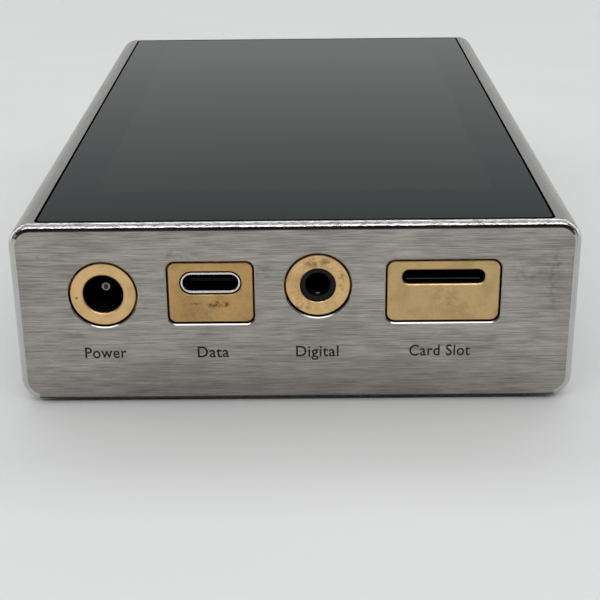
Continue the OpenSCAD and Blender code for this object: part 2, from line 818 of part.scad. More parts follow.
module key(y) {
    cap_x = body_w / 2 + key_out;
    color("silver") translate([0, y, key_z]) {
        along_x(side_in - key_flange_t, side_in) rounded(key_l + 1.6, key_h + 1.6, key_h / 2 + 0.8);
        along_x(side_in - 0.2, cap_x - 0.2)
            rounded(key_l - 2 * key_fit, key_h - 2 * key_fit, key_h / 2 - key_fit);
        along_x(cap_x - 0.3, cap_x)
            rounded(key_l - 2 * key_fit - 0.4, key_h - 2 * key_fit - 0.4, key_h / 2 - key_fit - 0.2);
    }
}

module plunger(y) {
    color("black") translate([0, y, key_z]) round_x(switch_x + 0.6, side_in - key_flange_t, plunger_r);
}

module power_button() { key(key_y[0]); }
module previous_button() { key(key_y[1]); }
module play_button() { key(key_y[2]); }
module next_button() { key(key_y[3]); }
module power_plunger() { plunger(key_y[0]); }
module previous_plunger() { plunger(key_y[1]); }
module play_plunger() { plunger(key_y[2]); }
module next_plunger() { plunger(key_y[3]); }

module switch_board() {
    color("darkgreen") difference() {
        block([switch_x - 0.8, -7.6, key_z - 4], [switch_x, 54.6, key_z + 4]);
        for (y = switch_post_y)
            translate([0, y, key_z]) round_x(switch_x - 0.8 - over, switch_x + over, 0.8);
    }
}

module button_switches() {
    color("dimgray") for (y = key_y) translate([0, y, key_z]) difference() {
        block([switch_x, -2.2, -2.2], [switch_x + switch_h, 2.2, 2.2]);
        round_x(switch_x + 0.2, switch_x + switch_h + over, plunger_r + 0.05);
    }
}

module switch_board_screws() {
    back = switch_x - 0.8;
    color("silver") for (y = switch_post_y) translate([0, y, key_z]) difference() {
        union() {
            round_x(back - 0.8, back, 1.3);
            round_x(back - 0.1, side_in + 0.5, 0.7);
        }
        round_x(back - 0.8 - over, back - 0.4, 0.5, $fn = 6);
    }
}

// ---------- assembly ----------

chassis();
back_cover();
back_cover_screws();
foot_ring();
cover_glass();
glass_gasket();
display_panel();
display_flex();
mid_plate();
mid_plate_screws();
digital_board();
analog_board();
board_standoffs();
board_screws();
processor_chips();
processor_shield();
converter_chips();
converter_shield();
filter_capacitors();
output_relays();
system_battery();
amplifier_battery();
battery_pads();
board_link_flex();
dc_inlet_ring();
dc_inlet_body();
dc_inlet_pin();
data_port_plate();
data_port_shell();
data_port_tongue();
coaxial_jack_ring();
coaxial_jack_body();
jack_contacts();
card_slot_plate();
card_socket_base();
card_socket_cover();
card_socket_contacts();
card_slider();
card_slider_spring();
balanced_jack_ring();
balanced_jack_body();
headphone_jack_rings();
headphone_jack_bodies();
volume_knob();
volume_shaft();
knob_set_screw();
volume_bushing();
volume_nut();
attenuator_body();
power_button();
previous_button();
play_button();
next_button();
power_plunger();
previous_plunger();
play_plunger();
next_plunger();
switch_board();
button_switches();
switch_board_screws();
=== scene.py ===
"""Looks of a desktop DAC: a slab of brushed steel with a glass top, brass port inserts and a volume knob.

Every size is in millimetres and becomes metres when a mesh is made. +X points to the side with the keys,
+Y along the body from the port end to the knob end, +Z up out of the glass.
"""

import logging
import math
from dataclasses import dataclass, field, replace
from enum import Enum, IntEnum
from typing import Any, Sequence

import bmesh
import bpy
import numpy as np
from mathutils import Matrix, Vector
from mathutils.geometry import delaunay_2d_cdt


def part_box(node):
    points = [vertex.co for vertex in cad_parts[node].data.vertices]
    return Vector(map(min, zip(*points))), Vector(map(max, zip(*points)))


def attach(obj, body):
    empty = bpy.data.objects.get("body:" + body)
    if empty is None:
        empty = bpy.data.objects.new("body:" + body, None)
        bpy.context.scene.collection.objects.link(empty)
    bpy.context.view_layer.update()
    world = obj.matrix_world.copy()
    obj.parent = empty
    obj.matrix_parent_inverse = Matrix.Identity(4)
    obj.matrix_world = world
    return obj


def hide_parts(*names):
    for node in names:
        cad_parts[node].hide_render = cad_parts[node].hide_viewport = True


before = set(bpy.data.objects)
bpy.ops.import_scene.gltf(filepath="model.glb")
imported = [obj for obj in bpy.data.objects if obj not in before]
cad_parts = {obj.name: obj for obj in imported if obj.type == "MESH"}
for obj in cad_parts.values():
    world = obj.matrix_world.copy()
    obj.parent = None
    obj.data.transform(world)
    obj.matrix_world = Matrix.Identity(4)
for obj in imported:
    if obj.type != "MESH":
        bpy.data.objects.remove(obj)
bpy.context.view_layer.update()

LOG = logging.getLogger("desktop_dac")
MM = 0.001
HOUSING = "housing"

Colour = tuple[float, float, float]
Point = tuple[float, float, float]
Size = tuple[float, float, float]
Pair = tuple[float, float]
Ring = tuple[np.ndarray, float]


# ---------------------------------------------------------------- shader nodes


class Wire:
    """A shader socket that Python arithmetic works on, each step adding its Math node."""

    def __init__(self, net: "Net", socket: bpy.types.NodeSocket) -> None:
        """Keeps the net that the socket belongs to, and the socket."""
        self.net = net
        self.socket = socket

    def _math(self, operation: str, *values: Any) -> "Wire":
        """Adds one Math node and returns its result."""
        return self.net.node("ShaderNodeMath", {"operation": operation}, dict(enumerate(values)))

    def __add__(self, other: Any) -> "Wire":
        """self + other."""
        return self._math("ADD", self, other)

    def __radd__(self, other: Any) -> "Wire":
        """other + self."""
        return self._math("ADD", other, self)

    def __sub__(self, other: Any) -> "Wire":
        """self - other."""
        return self._math("SUBTRACT", self, other)

    def __rsub__(self, other: Any) -> "Wire":
        """other - self."""
        return self._math("SUBTRACT", other, self)

    def __mul__(self, other: Any) -> "Wire":
        """self * other."""
        return self._math("MULTIPLY", self, other)

    def __rmul__(self, other: Any) -> "Wire":
        """other * self."""
        return self._math("MULTIPLY", other, self)

    def __abs__(self) -> "Wire":
        """The size of self without its sign."""
        return self._math("ABSOLUTE", self)

    def above(self, limit: float) -> "Wire":
        """1 where self is over the limit, else 0."""
        return self._math("GREATER_THAN", self, limit)

    def ramp(self, low: float, high: float, to_low: float = 0.0, to_high: float = 1.0) -> "Wire":
        """A smooth step from to_low to to_high as self goes from low to high."""
        inputs = {0: self, 1: low, 2: high, 3: to_low, 4: to_high}
        return self.net.node("ShaderNodeMapRange", {"interpolation_type": "SMOOTHSTEP"}, inputs)

    def fall(self, low: float, high: float) -> "Wire":
        """A smooth step from 1 to 0 as self goes from low to high."""
        return self.ramp(low, high, 1.0, 0.0)


class Net:
    """The node tree of one material or world."""

    def __init__(self, tree: bpy.types.NodeTree) -> None:
        """Empties the tree and keeps it."""
        self.tree = tree
        tree.nodes.clear()

    def node(
        self,
        kind: str,
        settings: dict[str, Any] | None = None,
        inputs: dict[str | int, Any] | None = None,
        out: str | int = 0,
    ) -> Wire:
        """Adds a node.

        Args:
            kind: the node's type.
            settings: its own settings; "stops" are a colour ramp's places and colours.
            inputs: a value or a Wire for each socket, by name or number.
            out: which output to return.

        Returns:
            The chosen output as a Wire.
        """
        made = self.tree.nodes.new(kind)
        for name, value in (settings or {}).items():
            if name == "stops":
                ramp = made.color_ramp
                while len(ramp.elements) < len(value):
                    ramp.elements.new(0.5)
                for element, (place, colour) in zip(ramp.elements, value):
                    element.position = place
                    element.color = (*colour, 1.0)
            else:
                setattr(made, name, value)
        for name, value in (inputs or {}).items():
            socket = made.inputs[name]
            if isinstance(value, Wire):
                self.tree.links.new(value.socket, socket)
            elif isinstance(value, tuple) and len(value) == 3 and socket.type == "RGBA":
                socket.default_value = (*value, 1.0)
            else:
                socket.default_value = value
        return Wire(self, made.outputs[out])

    def vector(self, operation: str, a: Any, b: Any = (0.0, 0.0, 0.0), out: str | int = 0) -> Wire:
        """One Vector Math node on a and b."""
        return self.node("ShaderNodeVectorMath", {"operation": operation}, {0: a, 1: b}, out)

    def mix(self, factor: Any, a: Any, b: Any) -> Wire:
        """The colour a where factor is 0 and b where it is 1."""
        return self.node("ShaderNodeMix", {"data_type": "RGBA"}, {0: factor, 6: a, 7: b}, 2)

    def noise(self, place: Wire, per_mm: float, detail: float = 2.0) -> Wire:
        """Cloud noise with about per_mm lumps to the millimetre."""
        inputs = {"Vector": place, "Scale": per_mm / MM, "Detail": detail, "Roughness": 0.6}
        return self.node("ShaderNodeTexNoise", None, inputs)

    def split(self, place: Wire) -> list[Wire]:
        """The three coordinates of a vector."""
        parts = self.node("ShaderNodeSeparateXYZ", None, {0: place})
        return [Wire(self, output) for output in parts.socket.node.outputs]

    def end(self, kind: str, shader: Wire) -> None:
        """Joins a shader to the tree's output node, whose type is kind."""
        output = self.tree.nodes.new(kind)
        self.tree.links.new(shader.socket, output.inputs["Surface"])

    def surface(self, inputs: dict[str | int, Any]) -> None:
        """Adds a material's surface shader with these inputs and joins it to the output."""
        self.end("ShaderNodeOutputMaterial", self.node("ShaderNodeBsdfPrincipled", None, inputs))


def blank_material(name: str) -> tuple[bpy.types.Material, Net, Wire]:
    """A material without nodes, its net, and the Object coordinates that its patterns read."""
    material = bpy.data.materials.new(name)
    material.use_nodes = True
    net = Net(material.node_tree)
    return material, net, net.node("ShaderNodeTexCoord", out="Object")


def metres(values: Sequence[float]) -> tuple[float, ...]:
    """Values in millimetres as metres."""
    return tuple(v * MM for v in values)


# ---------------------------------------------------------------- finishes


FINE_SHARE = 0.75
BROAD_PITCH = 0.28
GRAIN_SPAN = (0.36, 0.64)
CLOUD_STRETCH = 0.25
CLOUD_PITCH = 0.7
CLOUD_SPAN = (0.3, 0.7)
BLOTCH_SPAN = (0.42, 0.72)
BLOTCH_ROUGH = 0.25
SPECK_PITCH = 0.22
SPECK_SPAN = (0.025, 0.055)
SPECK_CHOICE = 0.6
# falloff of dirt marks and of painted shade patches
SMUDGE_AND_SHADE_SPAN = (0.2, 1.0)
SMUDGE_PITCH = 1.1
SMUDGE_BREAKS = (0.4, 0.66)
SMEAR_PITCH = 0.045
SMEAR_SPAN = (0.45, 0.75)


class Grain(Enum):
    """Which way a finish's fine lines run: 0 for an axis that the pattern is stretched along, else 1."""

    ACROSS = (0.0, 1.0, 1.0)
    ALONG = (1.0, 0.0, 1.0)
    UPRIGHT = (1.0, 1.0, 0.0)
    PEPPERED = (1.0, 1.0, 1.0)
    TURNED = (0.0, 0.0, 0.0)

    def stretch(self, share: float) -> Point:
        """The factor for each axis, where a stretched axis takes share."""
        return tuple(1.0 if keep else share for keep in self.value)


@dataclass(frozen=True)
class SmudgeAndShade:
    """A faint dirt mark at one place, or, when even, a patch of painted shade.

    Attributes:
        centre: its middle.
        reach: how far it spreads along X, Y and Z.
        strength: how dark its middle is.
        even: whether it is painted shade, even and not broken up by noise.
    """

    centre: Point
    reach: Point
    strength: float
    even: bool = False

    def mask(self, net: Net, place: Wire) -> Wire:
        """How much the mark shows, dirt or painted shade: a soft ellipsoid, broken up by noise unless it is
        even.
        """
        arm = net.vector("SUBTRACT", place, metres(self.centre))
        away = net.vector("LENGTH", net.vector("DIVIDE", arm, metres(self.reach)), out="Value")
        soft = away.fall(*SMUDGE_AND_SHADE_SPAN) * self.strength
        return soft if self.even else soft * net.noise(place, SMUDGE_PITCH, 5.0).ramp(*SMUDGE_BREAKS)


@dataclass(frozen=True)
class Finish:
    """One surface finish.

    Attributes:
        colour: the tone of the grain's ridges.
        shade: the tone of its valleys.
        stain: the tone of blotches, specks, dirt marks and painted shade.
        rough: the roughness of ridges and of valleys.
        metal: 1 for bare metal.
        grain: which way the lines run.
        pitch: lines to the millimetre.
        length: how many times longer than wide a line is.
        relief: depth of the grain in micrometres.
        blotch: how strongly broad blotches show.
        patch: how many blotches there are to the millimetre.
        cloud: how much of the grain's tone is soft clouds and not lines.
        specks: how strongly small dark specks show.
        coat: clear coat weight.
        specular: strength of the shine of a finish that isn't metal.
        smudges: dirt marks at known places, and even patches of painted shade.
        turned_about: a point on the axis that turned grain circles, which runs along Y.
    """

    colour: Colour
    shade: Colour
    stain: Colour = (0.02, 0.02, 0.02)
    rough: Pair = (0.3, 0.45)
    metal: float = 0.0
    grain: Grain = Grain.PEPPERED
    pitch: float = 3.0
    length: float = 30.0
    relief: float = 1.0
    blotch: float = 0.15
    patch: float = 0.07
    cloud: float = 0.0
    specks: float = 0.0
    coat: float = 0.0
    specular: float = 0.5
    smudges: tuple[SmudgeAndShade, ...] = ()
    turned_about: Point = (0.0, 0.0, 0.0)

    def _grain_place(self, net: Net, place: Wire) -> Wire:
        """The coordinates that the grain reads: squeezed along the lines, or the radius about the axis."""
        if self.grain is Grain.TURNED:
            arm = net.vector("SUBTRACT", place, metres(self.turned_about))
            radius = net.vector("LENGTH", net.vector("MULTIPLY", arm, (1.0, 0.0, 1.0)), out="Value")
            return net.node("ShaderNodeCombineXYZ", None, {0: radius, 1: net.split(arm)[1]})
        return net.vector("MULTIPLY", place, self.grain.stretch(1.0 / self.length))

    def _tone(self, net: Net, place: Wire) -> Wire:
        """How light the grain is: fine and broad lines, partly clouded over in a finish with cloud."""
        lines = self._grain_place(net, place)
        fine, broad = net.noise(lines, self.pitch, 3.0), net.noise(lines, self.pitch * BROAD_PITCH)
        tone = (fine * FINE_SHARE + broad * (1.0 - FINE_SHARE)).ramp(*GRAIN_SPAN)
        if not self.cloud:
            return tone
        drift = net.vector("MULTIPLY", place, self.grain.stretch(CLOUD_STRETCH))
        return tone * (1.0 - self.cloud) + net.noise(drift, CLOUD_PITCH, 4.0).ramp(*CLOUD_SPAN) * self.cloud

    def build(self, name: str) -> bpy.types.Material:
        """Makes the material: the grain's two tones, under its blotches, specks, dirt marks and painted
        shade.

        Args:
            name: the material's name.

        Returns:
            A node material that reads Object coordinates.
        """
        material, net, place = blank_material(name)
        tone = self._tone(net, place)
        blotches = net.noise(place, self.patch, 3.0).ramp(*BLOTCH_SPAN) * self.blotch
        colour = net.mix(blotches, net.mix(tone, self.shade, self.colour), self.stain)
        if self.specks:
            cells = net.node("ShaderNodeTexVoronoi", None, {"Vector": place, "Scale": SPECK_PITCH / MM})
            chance = Wire(net, cells.socket.node.outputs["Color"])
            chosen = net.node("ShaderNodeSeparateColor", None, {0: chance}).above(SPECK_CHOICE)
            colour = net.mix(cells.fall(*SPECK_SPAN) * chosen * self.specks, colour, self.stain)
        # dirt marks, and even patches of painted shade darkening the end face
        for smudge in self.smudges:
            colour = net.mix(smudge.mask(net, place), colour, self.stain)
        ridge, valley = self.rough
        bump = {"Strength": 1.0, "Distance": self.relief * 1e-6, "Height": tone}
        net.surface({
            "Base Color": colour,
            "Roughness": tone * (ridge - valley) + valley + blotches * BLOTCH_ROUGH,
            "Metallic": self.metal,
            "Coat Weight": self.coat,
            "Specular IOR Level": self.specular,
            "Normal": net.node("ShaderNodeBump", None, bump),
        })
        return material


@dataclass(frozen=True)
class DisplayGlass:
    """Dark cover glass with a switched-off display behind it.

    Attributes:
        border: colour of the black print round the display.
        panel: colour of the display area, a little lighter.
        low: nearest corner of the display area, x and y.
        high: far corner of the display area, x and y.
        blur: half the width of the display area's soft edge.
        rough: the roughness of clean and of smeared glass.
    """

    border: Colour = (0.003, 0.0062, 0.0072)
    panel: Colour = (0.0125, 0.0135, 0.0125)
    low: Pair = (-31.15, -52.4)
    high: Pair = (31.15, 58.3)
    blur: float = 0.1
    rough: Pair = (0.03, 0.07)

    def build(self, name: str) -> bpy.types.Material:
        """Makes the glass material: the display area is where x and y lie between its corners."""
        material, net, place = blank_material(name)
        inside = 1.0
        coordinates = net.split(net.vector("MULTIPLY", place, (1 / MM,) * 3))
        for along, low, high in zip(coordinates, self.low, self.high):
            half = (high - low) / 2
            inside = abs(along - (low + high) / 2).fall(half - self.blur, half + self.blur) * inside
        clean, smeared = self.rough
        smear = net.noise(place, SMEAR_PITCH, 4.0).ramp(*SMEAR_SPAN)
        net.surface({
            "Base Color": net.mix(inside, self.border, self.panel),
            "Roughness": smear * (smeared - clean) + clean,
            "IOR": 1.52,
        })
        return material


def like(base: Finish, colour: Colour, shade: Colour, **changes: Any) -> Finish:
    """A finish like base, with its own colour and shade and any other changes."""
    return replace(base, colour=colour, shade=shade, **changes)


STEEL = Finish((0.62, 0.61, 0.58), (0.42, 0.41, 0.39), stain=(0.2, 0.19, 0.18), metal=1.0, relief=1.5)
BRASS = Finish(
    (0.77, 0.51, 0.225), (0.69, 0.45, 0.195), stain=(0.15, 0.085, 0.04), rough=(0.3, 0.4), metal=1.0,
    pitch=5.0, relief=0.8, blotch=0.26, patch=0.22, specks=0.7,
)
BLACK = Finish(
    (0.012, 0.012, 0.013), (0.007, 0.007, 0.008), rough=(0.3, 0.42), pitch=6.0, relief=3.0, blotch=0.0,
    specular=0.3,
)
FACE_STAINS_AND_SHADE = (
    SmudgeAndShade((-17.2, -68.0, 24.6), (3.6, 2.0, 0.9), 0.55),
    SmudgeAndShade((-38.2, -68.0, 24.2), (0.3, 0.5, 0.3), 0.9),
    SmudgeAndShade((34.5, -68.0, 21.5), (5.0, 2.0, 3.0), 0.35),
    SmudgeAndShade((38.9, -68.0, 20.0), (1.6, 2.0, 8.0), 0.5),
    SmudgeAndShade((-4.8, -68.0, 21.8), (2.6, 2.0, 2.2), 0.3),
    # even patches: painted shade, the end face darker towards its bottom and towards its left and right edges
    SmudgeAndShade((0.0, -68.0, 0.5), (75.0, 4.0, 8.5), 0.3, even=True),
    SmudgeAndShade((-46.0, -68.0, 18.0), (16.0, 4.0, 22.0), 0.16, even=True),
    SmudgeAndShade((46.0, -68.0, 18.0), (16.0, 4.0, 22.0), 0.16, even=True),
)
PLATE_SMUDGES = (
    SmudgeAndShade((-11.6, -67.8, 16.4), (2.2, 1.0, 0.8), 1.9),
    SmudgeAndShade((-15.6, -67.8, 16.5), (2.6, 1.0, 0.3), 0.9),
    SmudgeAndShade((-8.2, -67.8, 18.6), (0.5, 1.0, 1.3), 0.5),
    SmudgeAndShade((22.4, -67.8, 17.4), (3.2, 1.0, 3.6), 0.3),
    SmudgeAndShade((26.0, -67.8, 15.6), (4.0, 1.0, 2.0), 0.2),
    SmudgeAndShade((-14.5, -67.8, 15.0), (4.0, 1.0, 2.2), 0.25),
)
RING_SMUDGES = (
    SmudgeAndShade((3.4, -67.8, 23.0), (3.6, 1.0, 1.0), 0.6),
    SmudgeAndShade((6.9, -67.8, 20.2), (0.9, 1.0, 3.0), 0.5),
    SmudgeAndShade((1.0, -67.8, 16.0), (2.6, 1.0, 1.0), 0.55),
    SmudgeAndShade((3.3, -67.8, 19.5), (6.5, 1.0, 6.5), 0.42),
    SmudgeAndShade((-31.6, -67.8, 21.5), (0.45, 1.0, 0.3), 1.6),
    SmudgeAndShade((-32.9, -67.8, 17.6), (0.3, 1.0, 0.3), 1.0),
)

FINISHES: dict[str, Finish | DisplayGlass] = {
    "satin_side": like(
        STEEL, (0.57, 0.56, 0.535), (0.47, 0.46, 0.44), grain=Grain.ALONG, pitch=7.0, length=70.0,
        rough=(0.26, 0.34), relief=0.5,
    ),
    # its darker tone also paints shade towards the bottom and the sides of the end face
    "brushed_end": like(
        STEEL, (0.55, 0.522, 0.472), (0.235, 0.223, 0.2), stain=(0.12, 0.11, 0.1), grain=Grain.ACROSS,
        pitch=8.5, length=44.0, rough=(0.22, 0.33), relief=0.7, cloud=0.3, specks=0.5, smudges=FACE_STAINS_AND_SHADE,
    ),
    "polished_edge": like(
        STEEL, (0.74, 0.73, 0.72), (0.34, 0.33, 0.32), grain=Grain.ACROSS, pitch=4.6, length=4.5,
        rough=(0.04, 0.08), relief=12.0, blotch=0.1,
    ),
    "cut_mouth": like(STEEL, (0.44, 0.42, 0.39), (0.36, 0.34, 0.32), pitch=4.0, rough=(0.08, 0.14)),
    "soft_edge": like(
        STEEL, (0.57, 0.565, 0.545), (0.51, 0.505, 0.485), grain=Grain.UPRIGHT, pitch=5.0, rough=(0.2, 0.28),
        relief=0.4, blotch=0.1,
    ),
    # painted dark reflection: near-black steel standing in for the round-over's dark reflection over the top
    # and the shadowed gap below
    "burnished_line": like(STEEL, (0.07, 0.067, 0.065), (0.035, 0.034, 0.033), rough=(0.2, 0.3)),
    "steel_cover": like(STEEL, (0.5, 0.5, 0.49), (0.4, 0.4, 0.39), grain=Grain.ALONG),
    "bead_blasted": replace(STEEL, pitch=7.0, rough=(0.36, 0.46), relief=1.0),
    "bright_steel": like(STEEL, (0.74, 0.74, 0.73), (0.64, 0.64, 0.63), pitch=5.0, rough=(0.2, 0.3)),
    "dark_steel": like(STEEL, (0.14, 0.14, 0.15), (0.08, 0.08, 0.09), pitch=6.0, rough=(0.32, 0.42)),
    "rolled_alloy": like(STEEL, (0.74, 0.75, 0.76), (0.66, 0.67, 0.68), grain=Grain.ALONG, pitch=2.0),
    "dull_plated": like(STEEL, (0.34, 0.34, 0.33), (0.26, 0.26, 0.25), pitch=6.0, rough=(0.18, 0.28)),
    "plated": like(
        STEEL, (0.86, 0.85, 0.82), (0.78, 0.77, 0.74), pitch=6.0, rough=(0.12, 0.2), relief=0.4, blotch=0.0
    ),
    "foil_pouch": like(
        STEEL, (0.5, 0.51, 0.52), (0.44, 0.45, 0.46), pitch=0.6, rough=(0.24, 0.36), relief=14.0, metal=0.8
    ),
    "brass_plate": like(BRASS, (0.66, 0.42, 0.175), (0.56, 0.35, 0.145), smudges=PLATE_SMUDGES),
    "pale_brass": like(BRASS, (0.7, 0.49, 0.235), (0.62, 0.43, 0.205), smudges=PLATE_SMUDGES),
    "brass_ring": like(BRASS, (0.93, 0.63, 0.3), (0.82, 0.54, 0.25), smudges=RING_SMUDGES),
    # painted dark reflection: dark brass for the inserts' outer edges and sides, standing in for the dark gap
    # they reflect
    "browned_brass": like(BRASS, (0.42, 0.21, 0.075), (0.28, 0.14, 0.05), specks=0.0),
    "gold": like(BRASS, (0.9, 0.66, 0.26), (0.8, 0.56, 0.2), rough=(0.16, 0.24), blotch=0.0, specks=0.0),
    # black mouldings, and painted shade inside the far sockets' brass rings
    "black_moulding": BLACK,
    # the data tongue's own black, and painted shade inside the front inserts' holes and the data shell
    "deep_black": like(BLACK, (0.004, 0.004, 0.004), (0.003, 0.003, 0.003), specular=0.1),
    "black_bush": like(BLACK, (0.0065, 0.0072, 0.009), (0.005, 0.0055, 0.007), specular=0.2),
    "seal_black": like(
        BLACK, (0.002, 0.002, 0.002), (0.0015, 0.0015, 0.0015), rough=(0.7, 0.8), specular=0.0
    ),
    "black_rubber": replace(BLACK, rough=(0.6, 0.75), pitch=4.0, relief=8.0),
    "chip_black": like(BLACK, (0.035, 0.035, 0.037), (0.025, 0.025, 0.027), rough=(0.5, 0.62)),
    "ivory_moulding": like(BLACK, (0.7, 0.67, 0.57), (0.62, 0.59, 0.5), blotch=0.1),
    "circuit_board": like(
        BLACK, (0.015, 0.1, 0.05), (0.01, 0.07, 0.035), grain=Grain.ALONG, pitch=0.9, length=6.0,
        rough=(0.25, 0.35), relief=12.0, coat=0.4,
    ),
    "laminate": like(BLACK, (0.1, 0.13, 0.06), (0.07, 0.1, 0.045), pitch=2.2, rough=(0.4, 0.55)),
    "amber_film": like(
        BLACK, (0.55, 0.24, 0.05), (0.42, 0.17, 0.03), grain=Grain.ALONG, pitch=1.6, length=40.0,
        rough=(0.15, 0.25),
    ),
    "blue_sleeve": like(
        BLACK, (0.03, 0.07, 0.24), (0.02, 0.05, 0.18), grain=Grain.UPRIGHT, pitch=1.5, rough=(0.2, 0.32),
        coat=0.3,
    ),
    "label_ink": like(BLACK, (0.014, 0.0135, 0.013), (0.01, 0.0098, 0.0095), rough=(0.5, 0.6)),
    "display_glass": DisplayGlass(),
}


class Workshop:
    """Makes each finish once and hands it out."""

    def __init__(self) -> None:
        """Starts with no materials made."""
        self.made: dict[str, bpy.types.Material] = {}

    def finish(self, name: str, turned_about: Point | None = None) -> bpy.types.Material:
        """A material from FINISHES.

        Args:
            name: its key there.
            turned_about: a point on the axis, for a turned copy of the finish.

        Returns:
            The material, made on first use.
        """
        key, recipe = name, FINISHES[name]
        if turned_about is not None:
            key = f"{name}_turned_{turned_about[0]:.0f}_{turned_about[1]:.0f}"
            recipe = replace(recipe, grain=Grain.TURNED, turned_about=turned_about)
        if key not in self.made:
            self.made[key] = recipe.build(key)
        return self.made[key]


WORKSHOP = Workshop()


# ---------------------------------------------------------------- shapes


ARC_STEPS = 12
EDGE_STEPS = 5
END_STEPS = 12
BEVEL_SLOPE = 0.73
AXIS_DOT = 0.02
WELD_DIGITS = 5
SAME_POINT = 1e-6
CREASE_DEGREES = 32.0


class Plane(Enum):
    """The axis that a flat outline is set square to: X holds (y, z), Y holds (x, z) and Z holds (x, y)."""

    X = 0
    Y = 1
    Z = 2


def box_mm(node: str) -> tuple[np.ndarray, np.ndarray]:
    """The lowest and highest corners of a CAD node, in millimetres."""
    low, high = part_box(node)
    return np.array(low) / MM, np.array(high) / MM


def middle(node: str) -> Point:
    """The centre of a CAD node's box, in millimetres."""
    low, high = box_mm(node)
    return tuple(float(v) for v in (low + high) / 2)


def outer_end(node: str) -> tuple[float, float, float]:
    """Where a node of an end wall starts along Y, where it stops inside, and the way inwards, 1 or -1."""
    low, high = box_mm(node)
    return (low[1], high[1], 1.0) if low[1] < 0 else (high[1], low[1], -1.0)


def arc_angles() -> np.ndarray:
    """The angles of an outline's points: four quarter turns, each with both of its ends."""
    quarter = np.linspace(0, np.pi / 2, ARC_STEPS + 1)
    return (np.arange(4)[:, None] * np.pi / 2 - np.pi / 2 + quarter).ravel()


def outline(size: Size, grow: float = 0.0) -> np.ndarray:
    """Points round a rectangle with round corners: each corner's centre plus its radius times (cos a, sin a).

    Args:
        size: width, height and corner radius.
        grow: how far the outline stands outside that size.

    Returns:
        An (n, 2) loop, anticlockwise. A circle or a slot with round ends is the same loop with a full radius.
    """
    width, height, radius = size
    signs = np.repeat([[1, -1], [1, 1], [-1, 1], [-1, -1]], ARC_STEPS + 1, axis=0)
    angle = arc_angles()
    centres = signs * np.array([width / 2 - radius, height / 2 - radius])
    return centres + (radius + grow) * np.stack([np.cos(angle), np.sin(angle)], axis=1)


def polygon(radius: float, sides: int) -> np.ndarray:
    """A regular polygon at an outline's angles: r = apothem / cos(angle from the side's middle)."""
    angle = arc_angles()
    off = (angle % (2 * np.pi / sides)) - np.pi / sides
    reach = radius * math.cos(math.pi / sides) / np.cos(off)
    return reach[:, None] * np.stack([np.cos(angle), np.sin(angle)], axis=1)


def rectangle(low: Pair, high: Pair) -> np.ndarray:
    """The four corners between a low and a high corner, anticlockwise."""
    return np.array([low, (high[0], low[1]), high, (low[0], high[1])])


def disc(radius: float) -> Size:
    """The size of a round outline."""
    return 2 * radius, 2 * radius, radius


def grown(size: Size, gap: float) -> Size:
    """The size of an outline that runs a gap outside another."""
    width, height, radius = size
    return width + 2 * gap, height + 2 * gap, radius + gap


def stand(loop: np.ndarray, plane: Plane, at: float, centre: Sequence[float] = (0.0, 0.0)) -> np.ndarray:
    """Sets a flat loop into space, square to an axis at one place along it."""
    return np.insert(loop + np.asarray(centre), plane.value, at, axis=1)


def round_over(radius: float, steps: int = EDGE_STEPS) -> tuple[np.ndarray, np.ndarray]:
    """A quarter-round edge: inset r (1 - sin a) and depth r (1 - cos a), from the face to the side."""
    angle = np.linspace(0, np.pi / 2, steps + 1)
    return radius * (1 - np.sin(angle)), radius * (1 - np.cos(angle))


def edge_rings(
    size: Size, radius: float, face: float, inward: float = 1.0, grow: float = 0.0, hole: bool = False
) -> list[Ring]:
    """The rings of a quarter-round edge, from its face to its side.

    Args:
        size: width, height and corner radius of the side's outline.
        radius: radius of the edge.
        face: the face's place along the axis.
        inward: the way from the face into the piece, 1 or -1.
        grow: how far the side stands outside its size.
        hole: whether the edge is a hole's, so that its rings widen towards the face.

    Returns:
        Each ring's flat loop and its place along the axis.
    """
    inset, depth = round_over(radius)
    return [(outline(size, grow + (i if hole else -i)), face + inward * d) for i, d in zip(inset, depth)]


